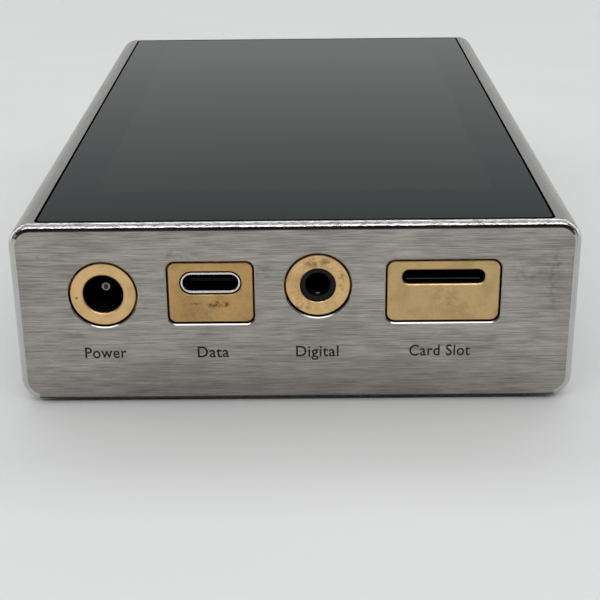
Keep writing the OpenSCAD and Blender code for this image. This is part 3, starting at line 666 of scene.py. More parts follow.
@dataclass
class Skin:
    """Patches of one piece, in millimetres, gathered and then welded where they share points."""

    points: list[np.ndarray] = field(default_factory=list)
    faces: list[np.ndarray] = field(default_factory=list)
    marks: list[np.ndarray] = field(default_factory=list)
    count: int = 0

    def _add(self, points: np.ndarray, faces: np.ndarray, mark: int) -> None:
        """Keeps a patch's points and faces; a triangle repeats its last corner."""
        self.points.append(points.reshape(-1, 3))
        self.faces.append(faces + self.count)
        self.marks.append(np.full(len(faces), mark))
        self.count += len(self.points[-1])

    def grid(self, points: np.ndarray, mark: int = 0, around: bool = False, closed: bool = False) -> None:
        """A patch of quads over points[i, j].

        Args:
            points: an (m, n, 3) array.
            mark: which of the piece's finishes the patch takes.
            around: whether j closes on itself.
            closed: whether i closes on itself.
        """
        rows, columns = points.shape[:2]
        i = np.arange(rows if closed else rows - 1)[:, None]
        j = np.arange(columns if around else columns - 1)[None, :]
        up, over = (i + 1) % rows, (j + 1) % columns
        corners = [i * columns + j, i * columns + over, up * columns + over, up * columns + j]
        faces = np.stack([np.broadcast_to(c, np.broadcast(i, j).shape) for c in corners], axis=-1)
        self._add(points, faces.reshape(-1, 4), mark)

    def chain(
        self,
        rings: Sequence[Ring],
        plane: Plane,
        centre: Sequence[float] = (0.0, 0.0),
        mark: int = 0,
        closed: bool = False,
    ) -> None:
        """Quads between each ring of a chain and the next, point to point.

        Args:
            rings: each ring's flat loop and its place along the axis.
            plane: the axis that they are square to.
            centre: where their middle is in that plane.
            mark: which of the piece's finishes the patch takes.
            closed: whether the last ring joins the first.
        """
        self.grid(np.stack([stand(loop, plane, at, centre) for loop, at in rings]), mark, True, closed)

    def solid(
        self, rings: Sequence[Ring], plane: Plane, centre: Sequence[float] = (0.0, 0.0), mark: int = 0
    ) -> None:
        """A chain of rings with a flat face over its first and its last one; the arguments are chain's."""
        self.chain(rings, plane, centre, mark)
        for loop, at in (rings[0], rings[-1]):
            self.flat(loop + np.asarray(centre), [], plane, float(at), mark)

    def flat(
        self, outer: np.ndarray, holes: Sequence[np.ndarray], plane: Plane, at: float, mark: int = 0
    ) -> None:
        """A flat face inside the outer loop and outside the convex holes, as constrained Delaunay triangles.

        Args:
            outer: the (n, 2) outer loop.
            holes: (n, 2) loops that stay open, anticlockwise.
            plane: the axis that the face is square to.
            at: its place along that axis.
            mark: which of the piece's finishes it takes.
        """
        steps = [np.linalg.norm(ring - np.roll(ring, 1, axis=0), axis=1) for ring in (outer, *holes)]
        rings = [ring[step > SAME_POINT] for ring, step in zip((outer, *holes), steps)]
        points = np.concatenate(rings)
        starts = np.cumsum([0] + [len(ring) for ring in rings[:-1]])
        edges = [
            (int(start + k), int(start + (k + 1) % len(ring)))
            for start, ring in zip(starts, rings)
            for k in range(len(ring))
        ]
        result = delaunay_2d_cdt([Vector(p) for p in points], edges, [], 1, SAME_POINT)
        source = np.array([origin[0] for origin in result[3]])
        triangles = source[np.array([list(face) for face in result[2]])]
        centres = points[triangles].mean(axis=1)
        keep = np.ones(len(triangles), bool)
        for ring in rings[1:]:
            side = np.roll(ring, -1, axis=0) - ring
            away = centres[:, None, :] - ring[None, :, :]
            keep &= ~np.all(side[:, 0] * away[..., 1] - side[:, 1] * away[..., 0] > 0, axis=1)
        triangles = triangles[keep]
        self._add(stand(points, plane, at), np.concatenate([triangles, triangles[:, -1:]], axis=1), mark)

    def _welded(self) -> tuple[np.ndarray, list[list[int]], np.ndarray]:
        """The welded points, the faces without repeated corners, and each face's mark."""
        points = np.round(np.concatenate(self.points), WELD_DIGITS)
        unique, index = np.unique(points, axis=0, return_inverse=True)
        quads = index.reshape(-1)[np.concatenate(self.faces)]
        marks = np.concatenate(self.marks)
        same = quads == np.roll(quads, -1, axis=1)
        whole, thin = ~same.any(axis=1), same.sum(axis=1) == 1
        turn = (same[thin].argmax(axis=1)[:, None] + 1 + np.arange(3)) % 4
        triangles = np.take_along_axis(quads[thin], turn, axis=1)
        return unique, quads[whole].tolist() + triangles.tolist(), np.concatenate([marks[whole], marks[thin]])

    def piece(
        self,
        name: str,
        slot: str,
        finishes: Sequence[str],
        stands_for: str | None = None,
        body: str = HOUSING,
        turned_about: Point | None = None,
    ) -> None:
        """Makes the piece's object at the origin, its faces turned outwards and its flat faces kept flat.

        Args:
            name: the piece's name.
            slot: the record's material slot; not used.
            finishes: the finishes that the marks number.
            stands_for: the CAD node that it replaces.
            body: the CAD body that it rides on.
            turned_about: a point on the axis that the first finish is turned about.
        """
        points, faces, marks = self._welded()
        mesh = bpy.data.meshes.new(name)
        mesh.from_pydata(points * MM, [], faces)
        mesh.polygons.foreach_set("material_index", marks.astype(np.int32))
        shape = bmesh.new()
        shape.from_mesh(mesh)
        loose = [v for v in shape.verts if not v.link_faces]
        bmesh.ops.delete(shape, geom=loose, context="VERTS")
        bmesh.ops.recalc_face_normals(shape, faces=shape.faces)
        open_edges = sum(1 for edge in shape.edges if len(edge.link_faces) != 2)
        shape.to_mesh(mesh)
        shape.free()
        mesh.shade_smooth()
        mesh.set_sharp_from_angle(angle=math.radians(CREASE_DEGREES))
        mesh.materials.append(WORKSHOP.finish(finishes[0], turned_about))
        for finish in finishes[1:]:
            mesh.materials.append(WORKSHOP.finish(finish))
        made = bpy.data.objects.new(name, mesh)
        bpy.context.scene.collection.objects.link(made)
        even = made.modifiers.new("even_normals", "WEIGHTED_NORMAL")
        even.keep_sharp = True
        even.weight = 100
        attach(made, body)
        if stands_for:
            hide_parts(stands_for)
        LOG.info("%s: %d faces, %d open edges, rides on %s", name, len(mesh.polygons), open_edges, body)


# ---------------------------------------------------------------- housing


@dataclass(frozen=True)
class Opening:
    """A hole through a wall."""

    centre: Pair
    size: Size
    chamfer: float = 0.17  # the bevel round its mouth

    def loop(self, grow: float = 0.0) -> np.ndarray:
        """The hole's flat loop, grown by a distance."""
        return outline(self.size, grow) + np.array(self.centre)

    def rim(self) -> np.ndarray:
        """The outer loop of its bevel."""
        return self.loop(self.chamfer)


class Steel(IntEnum):
    """The housing's finishes, as marks; each member's name in small letters is its finish."""

    SATIN_SIDE = 0
    BRUSHED_END = 1
    POLISHED_EDGE = 2
    CUT_MOUTH = 3
    # painted dark reflection in the round-over
    BURNISHED_LINE = 4
    SOFT_EDGE = 5


@dataclass(frozen=True)
class Span:
    """A stretch of the round-over between an end face and the sides.

    Attributes:
        start: the point of the outline where it starts.
        stop: the point where it stops; it may pass the outline's last point.
        split: the ring where the finish changes.
        face: the finish next to the end face.
        side: the finish next to the sides.
    """

    start: int
    stop: int
    split: int
    face: Steel
    side: Steel


@dataclass
class Housing:
    """The milled steel body: round long edges, polished round-overs at both ends and every port's opening.

    Its outside is the end outline carried along Y, drawn in by r (1 - sin a) at each end. The round-over is
    soft up the right side, polished over the top with a band of painted dark reflection next to the end face,
    soft down the left side, and painted dark in its lower rows below, standing in for the shadowed gap under
    the body.
    """

    long_round: float = 3.4
    end_round: float = 1.08
    end_wall: float = 4.0
    side_wall: float = 4.0
    floor: float = 2.0
    ceiling: float = 25.6
    ledge: float = 28.15
    glass_hole: Size = (77.3, 133.62, 1.05)
    panel_hole: Size = (70.0, 124.0, 2.0)
    cover_hole: Size = (78.0, 130.4, 2.0)
    glass_rim: float = 0.05
    cover_rim: float = 0.1
    recess_radius: float = 9.5
    recess_depth: float = 1.0
    bush_hole: float = 3.6
    # the dark bands in the round-over are painted reflection of the dark room and of the shadowed gap under
    # the body
    spans: tuple[Span, ...] = (
        Span(2, 17, 2, Steel.SOFT_EDGE, Steel.SOFT_EDGE),
        Span(17, 19, 2, Steel.BURNISHED_LINE, Steel.POLISHED_EDGE),
        Span(19, 32, 4, Steel.BURNISHED_LINE, Steel.POLISHED_EDGE),
        Span(32, 34, 2, Steel.BURNISHED_LINE, Steel.POLISHED_EDGE),
        Span(34, 49, 2, Steel.SOFT_EDGE, Steel.SOFT_EDGE),
        Span(49, 54, 4, Steel.BRUSHED_END, Steel.BURNISHED_LINE),
    )

    def __post_init__(self) -> None:
        """Reads the body's box and works out the openings of each wall."""
        self.low, self.high = box_mm("chassis")
        self.width, self.length, self.height = self.high - self.low
        self.mid_z = (self.low[2] + self.high[2]) / 2
        self.inner_x = self.width / 2 - self.side_wall
        self.front = [insert.opening() for insert in (INLET, DATA, COAXIAL, CARD)]
        self.back = [insert.opening() for insert in (BALANCED, *PHONES)]
        self.keys = [key.opening() for key in KEYS]
        knob_x, _, knob_z = middle("volume_knob")
        self.recess = Opening((knob_x, knob_z), disc(self.recess_radius))
        self.bush = Opening((knob_x, knob_z), disc(self.bush_hole))

    def _end_outline(self, inset: float) -> np.ndarray:
        """The body's outline square to Y, drawn in by inset."""
        return outline((self.width, self.height, self.long_round), -inset) + np.array([0.0, self.mid_z])

    def _wrap(self, skin: Skin) -> None:
        """Adds both ends' round-overs, the four long edges and the plain left side."""
        per_arc = ARC_STEPS + 1
        inset, depth = round_over(self.end_round, END_STEPS)
        for face, inward in ((self.low[1], 1), (self.high[1], -1)):
            rings = [(self._end_outline(i), face + inward * d) for i, d in zip(inset, depth)]
            loops = np.stack([stand(ring, Plane.Y, at) for ring, at in rings])
            for span in self.spans:
                patch = np.take(loops, range(span.start, span.stop + 1), axis=1, mode="wrap")
                skin.grid(patch[: span.split + 1], mark=span.face)
                skin.grid(patch[span.split :], mark=span.side)
        start, stop = self.low[1] + self.end_round, self.high[1] - self.end_round
        side = np.stack([stand(self._end_outline(0.0), Plane.Y, y) for y in (start, stop)])
        for corner in range(4):
            skin.grid(side[:, corner * per_arc : (corner + 1) * per_arc])
        skin.grid(side[:, [3 * per_arc - 1, 3 * per_arc]])

    def _mouth(self, skin: Skin, hole: Opening, plane: Plane, face: float, inner: float) -> None:
        """Adds a hole's bevel and wall, from the outer face to the wall's inner face."""
        bevel = face + math.copysign(hole.chamfer, inner - face) * BEVEL_SLOPE
        rings = [(hole.rim(), face), (hole.loop(), bevel), (hole.loop(), inner)]
        skin.chain(rings, plane, mark=Steel.CUT_MOUTH)

    def _ends(self, skin: Skin) -> None:
        """Adds the two brushed end faces, their openings and the end walls' inner faces."""
        cavity = rectangle((-self.inner_x, self.floor), (self.inner_x, self.ceiling))
        ends = ((self.low[1], 1, self.front, []), (self.high[1], -1, self.back, [self.recess]))
        for face, inward, holes, recesses in ends:
            inner = face + inward * self.end_wall
            rims = [hole.rim() for hole in [*holes, *recesses]]
            skin.flat(self._end_outline(self.end_round), rims, Plane.Y, face, Steel.BRUSHED_END)
            for hole in holes:
                self._mouth(skin, hole, Plane.Y, face, inner)
            through = [hole.loop() for hole in holes]
            for recess in recesses:
                floor, bush = face + inward * self.recess_depth, self.bush.loop()
                self._mouth(skin, recess, Plane.Y, face, floor)
                rings = [(recess.loop(), floor), (bush, floor), (bush, inner)]
                skin.chain(rings, Plane.Y, mark=Steel.BRUSHED_END)
                through.append(bush)
            skin.flat(cavity, through, Plane.Y, inner)

    def _sides(self, skin: Skin) -> None:
        """Adds the right side with its key openings, and the inner faces of both sides."""
        low = (self.low[1] + self.end_round, self.low[2] + self.long_round)
        high = (self.high[1] - self.end_round, self.high[2] - self.long_round)
        skin.flat(rectangle(low, high), [key.rim() for key in self.keys], Plane.X, self.high[0])
        for key in self.keys:
            self._mouth(skin, key, Plane.X, self.high[0], self.inner_x)
        near, far = self.low[1] + self.end_wall, self.high[1] - self.end_wall
        inner = rectangle((near, self.floor), (far, self.ceiling))
        skin.flat(inner, [key.loop() for key in self.keys], Plane.X, self.inner_x)
        skin.flat(inner, [], Plane.X, -self.inner_x)

    def _top_and_base(self, skin: Skin) -> None:
        """Adds the rim round the glass, its ledge, the display's opening and the rim round the cover."""
        flat_x, flat_y = self.width / 2 - self.long_round, self.length / 2 - self.end_round
        outer = rectangle((-flat_x, -flat_y), (flat_x, flat_y))
        inner_y = self.length / 2 - self.end_wall
        cavity = rectangle((-self.inner_x, -inner_y), (self.inner_x, inner_y))
        glass, rim, top = outline(self.glass_hole), outline(self.glass_hole, self.glass_rim), self.high[2]
        panel = outline(self.panel_hole)
        skin.flat(outer, [rim], Plane.Z, top)
        skin.chain([(rim, top), (glass, top - self.glass_rim), (glass, self.ledge), (panel, self.ledge),
                    (panel, self.ceiling)], Plane.Z)
        skin.flat(cavity, [panel], Plane.Z, self.ceiling)
        cover, edge = outline(self.cover_hole), outline(self.cover_hole, self.cover_rim / 2)
        base = self.low[2]
        skin.flat(outer, [edge], Plane.Z, base)
        skin.chain([(edge, base), (cover, base + self.cover_rim), (cover, self.floor)], Plane.Z)
        skin.flat(cover, [cavity], Plane.Z, self.floor)

    def build(self) -> None:
        """Makes the body as one closed skin with satin, brushed and polished parts."""
        skin = Skin()
        self._wrap(skin)
        self._ends(skin)
        self._sides(skin)
        self._top_and_base(skin)
        skin.piece("steel_housing", "steel_body", [mark.name.lower() for mark in Steel], "chassis")


# ---------------------------------------------------------------- inserts and sockets


class Brass(IntEnum):
    """The patches of a brass insert, as marks."""

    FACE = 0
    # inside of the hole, painted black as shade
    PAINTED_SHADE = 1
    # outer edge and sides, in brass painted dark as reflection of the gap round the insert
    RIM = 2


@dataclass(frozen=True)
class Insert:
    """A brass insert in an end wall, with a hole for its connector and a flange behind the wall.

    It is one closed chain of loops: out of the hole, over its soft lip and the face, back along the outside
    and round the flange to the hole again.

    Attributes:
        node: the CAD node that it stands for.
        size: width, height and corner radius of its face.
        hole: width, height and corner radius of its hole.
        rise: how far the hole's middle is above the face's middle.
        edge: radius of the outer edge.
        lip: bevel of the hole's edge.
        shrink: how much smaller than its nominal size the face is, all round.
        gap: how far its opening in the wall stands outside that size.
        painted_shade_from: how far behind the lip the hole's painted shade starts, black colour standing in
            for the shadow deep in the hole.
        step: where the hole widens behind its mouth, and by how much.
        flange: how thick the flange is, and how far it stands out.
        turned: whether the face was finished on a lathe.
        tone: the finish of the face.
        at_x: sideways place, for one of several in a node.
    """

    node: str
    size: Size
    hole: Size
    rise: float = 0.0
    edge: float = 0.14
    lip: float = 0.12
    shrink: float = 0.02
    gap: float = 0.25
    painted_shade_from: float = 0.4
    step: Pair = (0.0, 0.0)
    flange: Pair = (1.0, 0.96)
    turned: bool = False
    tone: str = "brass_ring"
    at_x: float | None = None

    def place(self) -> Pair:
        """The middle of the face, x and z."""
        x, _, z = middle(self.node)
        return (x if self.at_x is None else self.at_x), z

    def opening(self) -> Opening:
        """The opening that it fills."""
        return Opening(self.place(), grown(self.size, self.gap))

    def build(self, skin: Skin) -> None:
        """Adds the insert to a skin, with its brass face, the painted shade inside its hole and the painted
        dark reflection on its rim marked.
        """
        face, back, inward = outer_end(self.node)
        x, z = self.place()
        lip_depth = self.lip * BEVEL_SLOPE
        # from here inwards the hole is painted black as shade
        painted_shade_start = face + inward * (lip_depth + self.painted_shade_from)

        def hole(grow: float, at: float) -> Ring:
            """One ring of the hole."""
            return outline(self.hole, grow) + np.array([x, z + self.rise]), at

        def side(grow: float, at: float) -> Ring:
            """One ring of the outside."""
            return outline(self.size, grow) + np.array([x, z]), at

        deep = [hole(0.0, back)]
        start, wider = face + inward * self.step[0], self.step[1]
        if wider:
            deep = [hole(wider, back), hole(wider, start), hole(0.0, start)]
        deep.append(hole(0.0, painted_shade_start))
        edge = [(loop + np.array([x, z]), at)
                for loop, at in edge_rings(self.size, self.edge, face, inward, -self.shrink)]
        wall, stands_out = back - inward * self.flange[0], self.flange[1]
        outside = [*edge, side(-self.shrink, wall), side(stands_out, wall), side(stands_out, back), deep[0]]
        mouth = [hole(0.0, painted_shade_start), hole(0.0, face + inward * lip_depth), hole(self.lip, face), edge[0]]
        skin.chain(deep, Plane.Y, mark=Brass.PAINTED_SHADE)
        skin.chain(mouth, Plane.Y, mark=Brass.FACE)
        skin.chain(outside, Plane.Y, mark=Brass.RIM)


@dataclass(frozen=True)
class Bush:
    """A black plug socket's nose and bore: a profile of radius and depth turned about the plug's axis."""

    insert: Insert
    nose: float = 2.68  # outer radius
    bore: float = 1.8  # radius of the plug's bore
    deep: float = 13.6  # length of the bore
    sunk: float = 0.35  # from the insert's face to the nose
    edge: float = 0.14
    flare: float = 0.08  # how much wider the bore is at its mouth
    flare_span: Pair = (0.6, 0.75)  # the depths between which it narrows
    wall: float = 0.8  # behind the bore

    def build(self, skin: Skin) -> None:
        """Adds the socket to a skin, closed behind the bore."""
        face, _, inward = outer_end(self.insert.node)
        face += inward * self.sunk
        mouth, back = self.bore + self.flare, self.deep + self.wall
        bore = [(AXIS_DOT / 2, self.deep), (self.bore, self.deep), (self.bore, self.flare_span[1]),
                (mouth, self.flare_span[0])]
        rings = [(outline(disc(radius)), face + inward * depth) for radius, depth in bore]
        rings += edge_rings(disc(mouth), self.edge, face, inward, hole=True)[::-1]
        rings += edge_rings(disc(self.nose), self.edge, face, inward)
        rings += [(outline(disc(radius)), face + inward * back) for radius in (self.nose, AXIS_DOT / 2)]
        skin.solid(rings, Plane.Y, self.insert.place())


INLET = Insert("dc_inlet_ring", disc(5.0), disc(3.08), edge=0.11, lip=0.18, step=(3.0, 0.3), turned=True)
DATA = Insert(
    "data_port_plate", (12.75, 9.6, 1.1), (9.36, 3.8, 1.9), rise=1.56, edge=0.11, lip=0.06,
    tone="brass_plate",
)
COAXIAL = Insert("coaxial_jack_ring", disc(4.88), disc(2.72), edge=0.11, lip=0.06, turned=True)
CARD = Insert(
    "card_slot_plate", (16.9, 9.65, 1.25), (12.5, 2.3, 1.15), rise=2.25, edge=0.11, lip=0.16,
    tone="pale_brass",
)
BALANCED = Insert("balanced_jack_ring", disc(5.7), disc(3.54))
PHONES = [Insert("headphone_jack_rings", disc(4.9), disc(2.72), at_x=x) for x in (-12.0, 3.0)]


@dataclass
class PortEnd:
    """The four ports of the near end, with what shows inside them."""

    face: float = -68.0
    pin_radius: float = 1.0
    pin_tip: float = 0.54  # radius where the tip's round starts
    pin_dome: float = 0.9  # how far that round goes back
    # radius and depth of its middle and its rim
    pin_dimple: tuple[Pair, Pair] = ((AXIS_DOT, 0.3), (0.32, 0.06))
    contact: Size = (1.0, 0.5, 0.25)
    contact_place: Pair = (1.45, 1.86)  # behind the ring's face, and below the bore's axis
    contact_rise: float = 0.24
    sheet: Size = (11.2, 0.12, 0.05)
    sheet_lift: float = 0.45  # height of its middle over the slot's floor
    sheet_span: Pair = (1.2, 1.6)  # from and to, behind the face
    shell: Size = (8.94, 3.26, 1.63)
    shell_bore: Size = (8.34, 2.56, 1.28)
    shell_lip: float = 0.15
    shell_edge: float = 0.05
    tongue: Size = (6.7, 0.7, 0.3)
    tongue_edge: float = 0.18
    root: float = 1.9  # length of the block behind the tongue
    root_fit: float = 0.02  # from that block to the shell
    pad: Size = (0.26, 3.2, 0.02)
    pads: int = 12
    pad_pitch: float = 0.5
    pad_start: float = 0.5  # behind the tongue's tip
    pad_span: Pair = (0.02, 0.05)  # out of the tongue, and into it

    def _inserts(self) -> None:
        """Makes the four brass inserts, each a piece of its own."""
        for insert in (INLET, DATA, COAXIAL, CARD):
            skin = Skin()
            insert.build(skin)
            x, z = insert.place()
            axis = (x, self.face, z) if insert.turned else None
            # the hole's inside painted black as shade, the outer edge painted dark as reflection
            finishes = [insert.tone, "deep_black", "browned_brass"]
            skin.piece(f"{insert.node}_face", "brass_insert", finishes, insert.node, turned_about=axis)

    def _inlet_pin(self) -> None:
        """Makes the power inlet's centre pin: a domed profile with a dimpled tip, turned about its axis."""
        low, high = box_mm("dc_inlet_pin")
        width = self.pin_radius - self.pin_tip
        angles = np.linspace(0.0, np.pi / 2, 7)
        shoulder = [(self.pin_tip + width * math.sin(a), self.pin_dome * (1 - math.cos(a))) for a in angles]
        profile = [*self.pin_dimple, *shoulder, (self.pin_radius, high[1] - low[1])]
        skin = Skin()
        rings = [(outline(disc(radius)), low[1] + depth) for radius, depth in profile]
        skin.solid(rings, Plane.Y, INLET.place())
        skin.piece("inlet_pin", "plated_contact", ["dull_plated"], "dc_inlet_pin")

    def _ground_contact(self) -> None:
        """Makes the small metal dimple low in the coaxial bore: height c (1 - u^4) over an oval."""
        x, z = COAXIAL.place()
        back, drop = self.contact_place
        centre = (x, outer_end(COAXIAL.node)[0] + back)
        reaches = (1.0, 0.92, 0.75, 0.5, 0.25, 0.02)
        rings = [(outline(self.contact) * u, z - drop + self.contact_rise * (1 - u**4)) for u in reaches]
        skin = Skin()
        skin.solid(rings, Plane.Z, centre)
        skin.piece("coaxial_ground_contact", "gold_contact", ["dark_steel"])

    def _card_lip(self) -> None:
        """Makes the thin sheet edge on the floor of the card slot: a low bar, closed at both ends."""
        x, z = CARD.place()
        face = outer_end(CARD.node)[0]
        floor = z + CARD.rise - CARD.hole[1] / 2
        skin = Skin()
        rings = [(outline(self.sheet), face + depth) for depth in self.sheet_span]
        skin.solid(rings, Plane.Y, (x, floor + self.sheet_lift))
        skin.piece("card_slot_sheet_edge", "plated_contact", ["dark_steel"])

    def _data_shell(self, centre: Pair) -> None:
        """Makes the data port's steel shell as one closed chain about the centre, its inner wall painted
        black as shade.
        """
        low, high = box_mm("data_port_shell")
        bore = (outline(self.shell_bore), high[1])
        rings = edge_rings(self.shell_bore, self.shell_lip, low[1], hole=True)[::-1]
        mouth = rings[0]
        rings += edge_rings(self.shell, self.shell_edge, low[1])
        rings += [(outline(self.shell), high[1]), bore]
        skin = Skin()
        skin.chain(rings, Plane.Y, centre)
        # painted shade: the shell's inner wall in near-black instead of steel
        skin.chain([bore, mouth], Plane.Y, centre, mark=1)
        skin.piece("data_shell", "plated_contact", ["plated", "deep_black"], "data_port_shell")

    def _data_tongue(self, centre: Pair) -> None:
        """Makes the data port's tongue about the centre, with its root and a row of contacts on each side."""
        low, high = box_mm("data_port_tongue")
        root = outline(self.shell_bore, -self.root_fit)
        rings = edge_rings(self.tongue, self.tongue_edge, low[1])
        rings += [(outline(self.tongue), high[1] - self.root), (root, high[1] - self.root), (root, high[1])]
        skin = Skin()
        skin.solid(rings, Plane.Y, centre)
        y = low[1] + self.pad_start + self.pad[1] / 2
        surface, (out, into) = self.tongue[1] / 2, self.pad_span
        for side in (-1, 1):
            heights = [centre[1] + side * (surface + lift) for lift in (out, -into)]
            for column in range(self.pads):
                x = centre[0] + (column - (self.pads - 1) / 2) * self.pad_pitch
                skin.solid([(outline(self.pad), z) for z in heights], Plane.Z, (x, y), mark=1)
        skin.piece("data_tongue", "moulding_black", ["deep_black", "dull_plated"], "data_port_tongue")

    def build(self) -> None:
        """Makes every piece of the port end."""
        self._inserts()
        self._inlet_pin()
        x, z = DATA.place()
        self._data_shell((x, z + DATA.rise))
        self._data_tongue((x, z + DATA.rise))
        skin = Skin()
        Bush(COAXIAL).build(skin)
        skin.piece("coaxial_bush", "moulding_black", ["black_bush"], "coaxial_jack_body")
        self._ground_contact()
        self._card_lip()


@dataclass
class KnobEnd:
    """The far end: three plug sockets and the knurled brass volume knob."""

    flutes: int = 72
    flute_steps: int = 8
    flute_depth: float = 0.12
    grip: Pair = (1.3, 1.5)  # behind the front, where the flutes end and where they are full
    grip_back: tuple[float, float, float] = (1.0, 1.15, 1.4)  # the collar's end, the grip, full flutes
    hole: float = 3.2  # radius of the shaft's hole
    hollow: Pair = (6.6, 2.9)  # radius and depth
    collar: Pair = (0.2, 0.3)  # how much smaller than the grip, and its bevel
    front_round: float = 0.45
    dish: tuple[float, float, float] = (1.3, 1.45, 0.18)  # inside the grip, its edge and floor; its depth
    marker: Size = (0.7, 4.2, 0.35)
    marker_in: float = 3.9  # from the grip's radius to its middle
    marker_span: Pair = (0.1, 0.2)  # from and to, behind the front
    axis_y: float = 70.0

    def _sockets(self) -> None:
        """Makes the brass rings and then the black bushes of the three sockets."""
        balanced, phones = [Bush(BALANCED, nose=3.5, bore=2.25)], [Bush(insert) for insert in PHONES]
        for name, bushes in (("balanced_ring", balanced), ("phones_rings", phones)):
            skin = Skin()
            for bush in bushes:
                bush.insert.build(skin)
            # the hole's inside painted black as shade, the outer edge painted dark as reflection
            finishes = ["brass_ring", "black_moulding", "browned_brass"]
            skin.piece(name, "brass_insert", finishes, bushes[0].insert.node)
        for name, bushes, node in (
            ("balanced_bush", balanced, "balanced_jack_body"),
            ("phones_bushes", phones, "headphone_jack_bodies"),
        ):
            skin = Skin()
            for bush in bushes:
                bush.build(skin)
            skin.piece(name, "moulding_black", ["black_moulding"], node)

    def _profile(self, radius: float, back: float, front: float) -> np.ndarray:
        """The knob's profile, from the shaft's hole round to the middle of the front.

        Args:
            radius: radius of the grip.
            back: the back's place along Y.
            front: the front's place along Y.

        Returns:
            Rows of radius, place along Y and the share of the flutes' depth.
        """
        hollow, floor = self.hollow[0], back + self.hollow[1]
        collar, bevel = radius - self.collar[0], self.collar[1]
        collar_end, grip_start, full = (back + v for v in self.grip_back)
        dish_edge, dish_floor, dish_depth = self.dish
        rows = [(self.hole, floor, 0.0), (hollow, floor, 0.0), (hollow, back, 0.0),
                (collar - bevel, back, 0.0), (collar, back + bevel, 0.0), (collar, collar_end, 0.0),
                (radius, grip_start, 0.0), (radius, full, 1.0), (radius, front - self.grip[1], 1.0),
                (radius, front - self.grip[0], 0.0), (radius, front - self.front_round, 0.0)]
        inset, depth = round_over(self.front_round)
        rows += [(radius - i, front - d, 0.0) for i, d in zip(inset[::-1], depth[::-1])]
        rows += [(radius - dish_edge, front, 0.0), (radius - dish_floor, front - dish_depth, 0.0),
                 (AXIS_DOT, front - dish_depth, 0.0)]
        return np.array(rows)

    def _knob(self) -> None:
        """Makes the knob: its profile turned, with a fluted grip of radius R - d (1 + cos(k angle)) / 2."""
        low, high = box_mm("volume_knob")
        x, _, z = middle("volume_knob")
        radius, front = (high[0] - low[0]) / 2, high[1]
        turn = np.linspace(0, 2 * np.pi, self.flutes * self.flute_steps, endpoint=False)
        radii, places, shares = self._profile(radius, low[1], front).T[..., None]
        reach = radii - self.flute_depth * shares * (1 + np.cos(self.flutes * turn)) / 2
        along = np.broadcast_to(places, reach.shape)
        grid = np.stack([x + reach * np.cos(turn), along, z + reach * np.sin(turn)], axis=-1)
        skin = Skin()
        skin.grid(grid, around=True)
        for row in (0, -1):
            skin.flat(grid[row][:, [0, 2]], [], Plane.Y, float(places[row, 0]))
        rings = [(outline(self.marker), front - depth) for depth in self.marker_span]
        skin.solid(rings, Plane.Y, (x, z + radius - self.marker_in), mark=1)
        skin.piece("volume_knob_grip", "brass_knob", ["brass_ring", "label_ink"], "volume_knob", "volume",
                   (x, self.axis_y, z))

    def build(self) -> None:
        """Makes every piece of the far end."""
        self._sockets()
        self._knob()


# ---------------------------------------------------------------- keys


@dataclass(frozen=True)
class Key:
    """A side key: a round-ended bar whose cap is crowned, with its flange inside the wall."""

    name: str
    cap: Size = (8.4, 3.4, 1.7)  # length, height and end radius
    gap: float = 0.1  # from the cap to its opening
    chamfer: float = 0.12  # the opening's bevel
    crown: float = 0.32  # radius of the cap's edge
    dish: tuple[Pair, Pair] = ((0.45, 0.03), (0.8, 0.05))  # inset, in end radii, and depth of two rings
    flange: Pair = (0.9, 0.8)  # how far it stands out, and its thickness

    def place(self) -> Pair:
        """The key's middle, y and z."""
        return middle(f"{self.name}_button")[1:]

    def opening(self) -> Opening:
        """The opening that it moves in."""
        return Opening(self.place(), grown(self.cap, self.gap), self.chamfer)

    def build(self) -> None:
        """Makes the key."""
        low, high = box_mm(f"{self.name}_button")
        flange, shoulder = outline(grown(self.cap, self.flange[0])), low[0] + self.flange[1]
        rings = [(flange, low[0]), (flange, shoulder), (outline(self.cap), shoulder)]
        rings += edge_rings(self.cap, self.crown, high[0], -1.0)[::-1]
        rings += [(outline(self.cap, -self.cap[2] * inset), high[0] - depth) for inset, depth in self.dish]
        skin = Skin()
        skin.solid(rings, Plane.X, self.place())
        node, body = f"{self.name}_button", f"{self.name}_key"
        skin.piece(f"{body}_cap", "steel_key", ["bead_blasted"], node, body)


KEYS = [Key(name) for name in ("power", "previous", "play", "next")]


# ---------------------------------------------------------------- top and underside


@dataclass
class Top:
    """The cover glass, its edge softly rounded, with a dark seam at the sides and a wider one at the ends."""

    corner: float = 0.8
    edge: float = 0.12
    side_seam: float = 0.16  # from the CAD's glass to this one at the sides
    end_seam: float = 0.75  # the same at the ends
    bed: Size = (72.4, 127.6, 2.0)  # inside of the seal, under the glass
    seal_drop: float = 0.05
    seal_fit: float = 0.005  # from the seal to the body's opening

    def build(self) -> None:
        """Makes the glass: the outline drawn in by r (1 - sin a) at its upper and lower edges."""
        low, high = box_mm("cover_glass")
        size = (high[0] - low[0] - 2 * self.side_seam, high[1] - low[1] - 2 * self.end_seam, self.corner)
        rings = edge_rings(size, self.edge, high[2], -1.0) + edge_rings(size, self.edge, low[2])[::-1]
        skin = Skin()
        skin.solid(rings, Plane.Z)
        skin.piece("top_glass", "cover_glass", ["display_glass"], "cover_glass")
        self._seal(size, low[2], high[2] - self.seal_drop)

    def _seal(self, glass: Size, under: float, top: float) -> None:
        """Makes the black seal: a closed ring that fills the seam round the glass and beds its edge.

        Args:
            glass: width, length and corner radius of the glass.
            under: height of the glass's lower face.
            top: height of the seal's upper face.
        """
        ledge = box_mm("glass_gasket")[0][2]
        hole, edge, bed = outline(Housing.glass_hole, -self.seal_fit), outline(glass), outline(self.bed)
        rings = [(hole, top), (hole, ledge), (bed, ledge), (bed, under), (edge, under), (edge, top)]
        skin = Skin()
        skin.chain(rings, Plane.Z, closed=True)
        skin.piece("glass_seal", "seal_black", ["seal_black"], "glass_gasket")


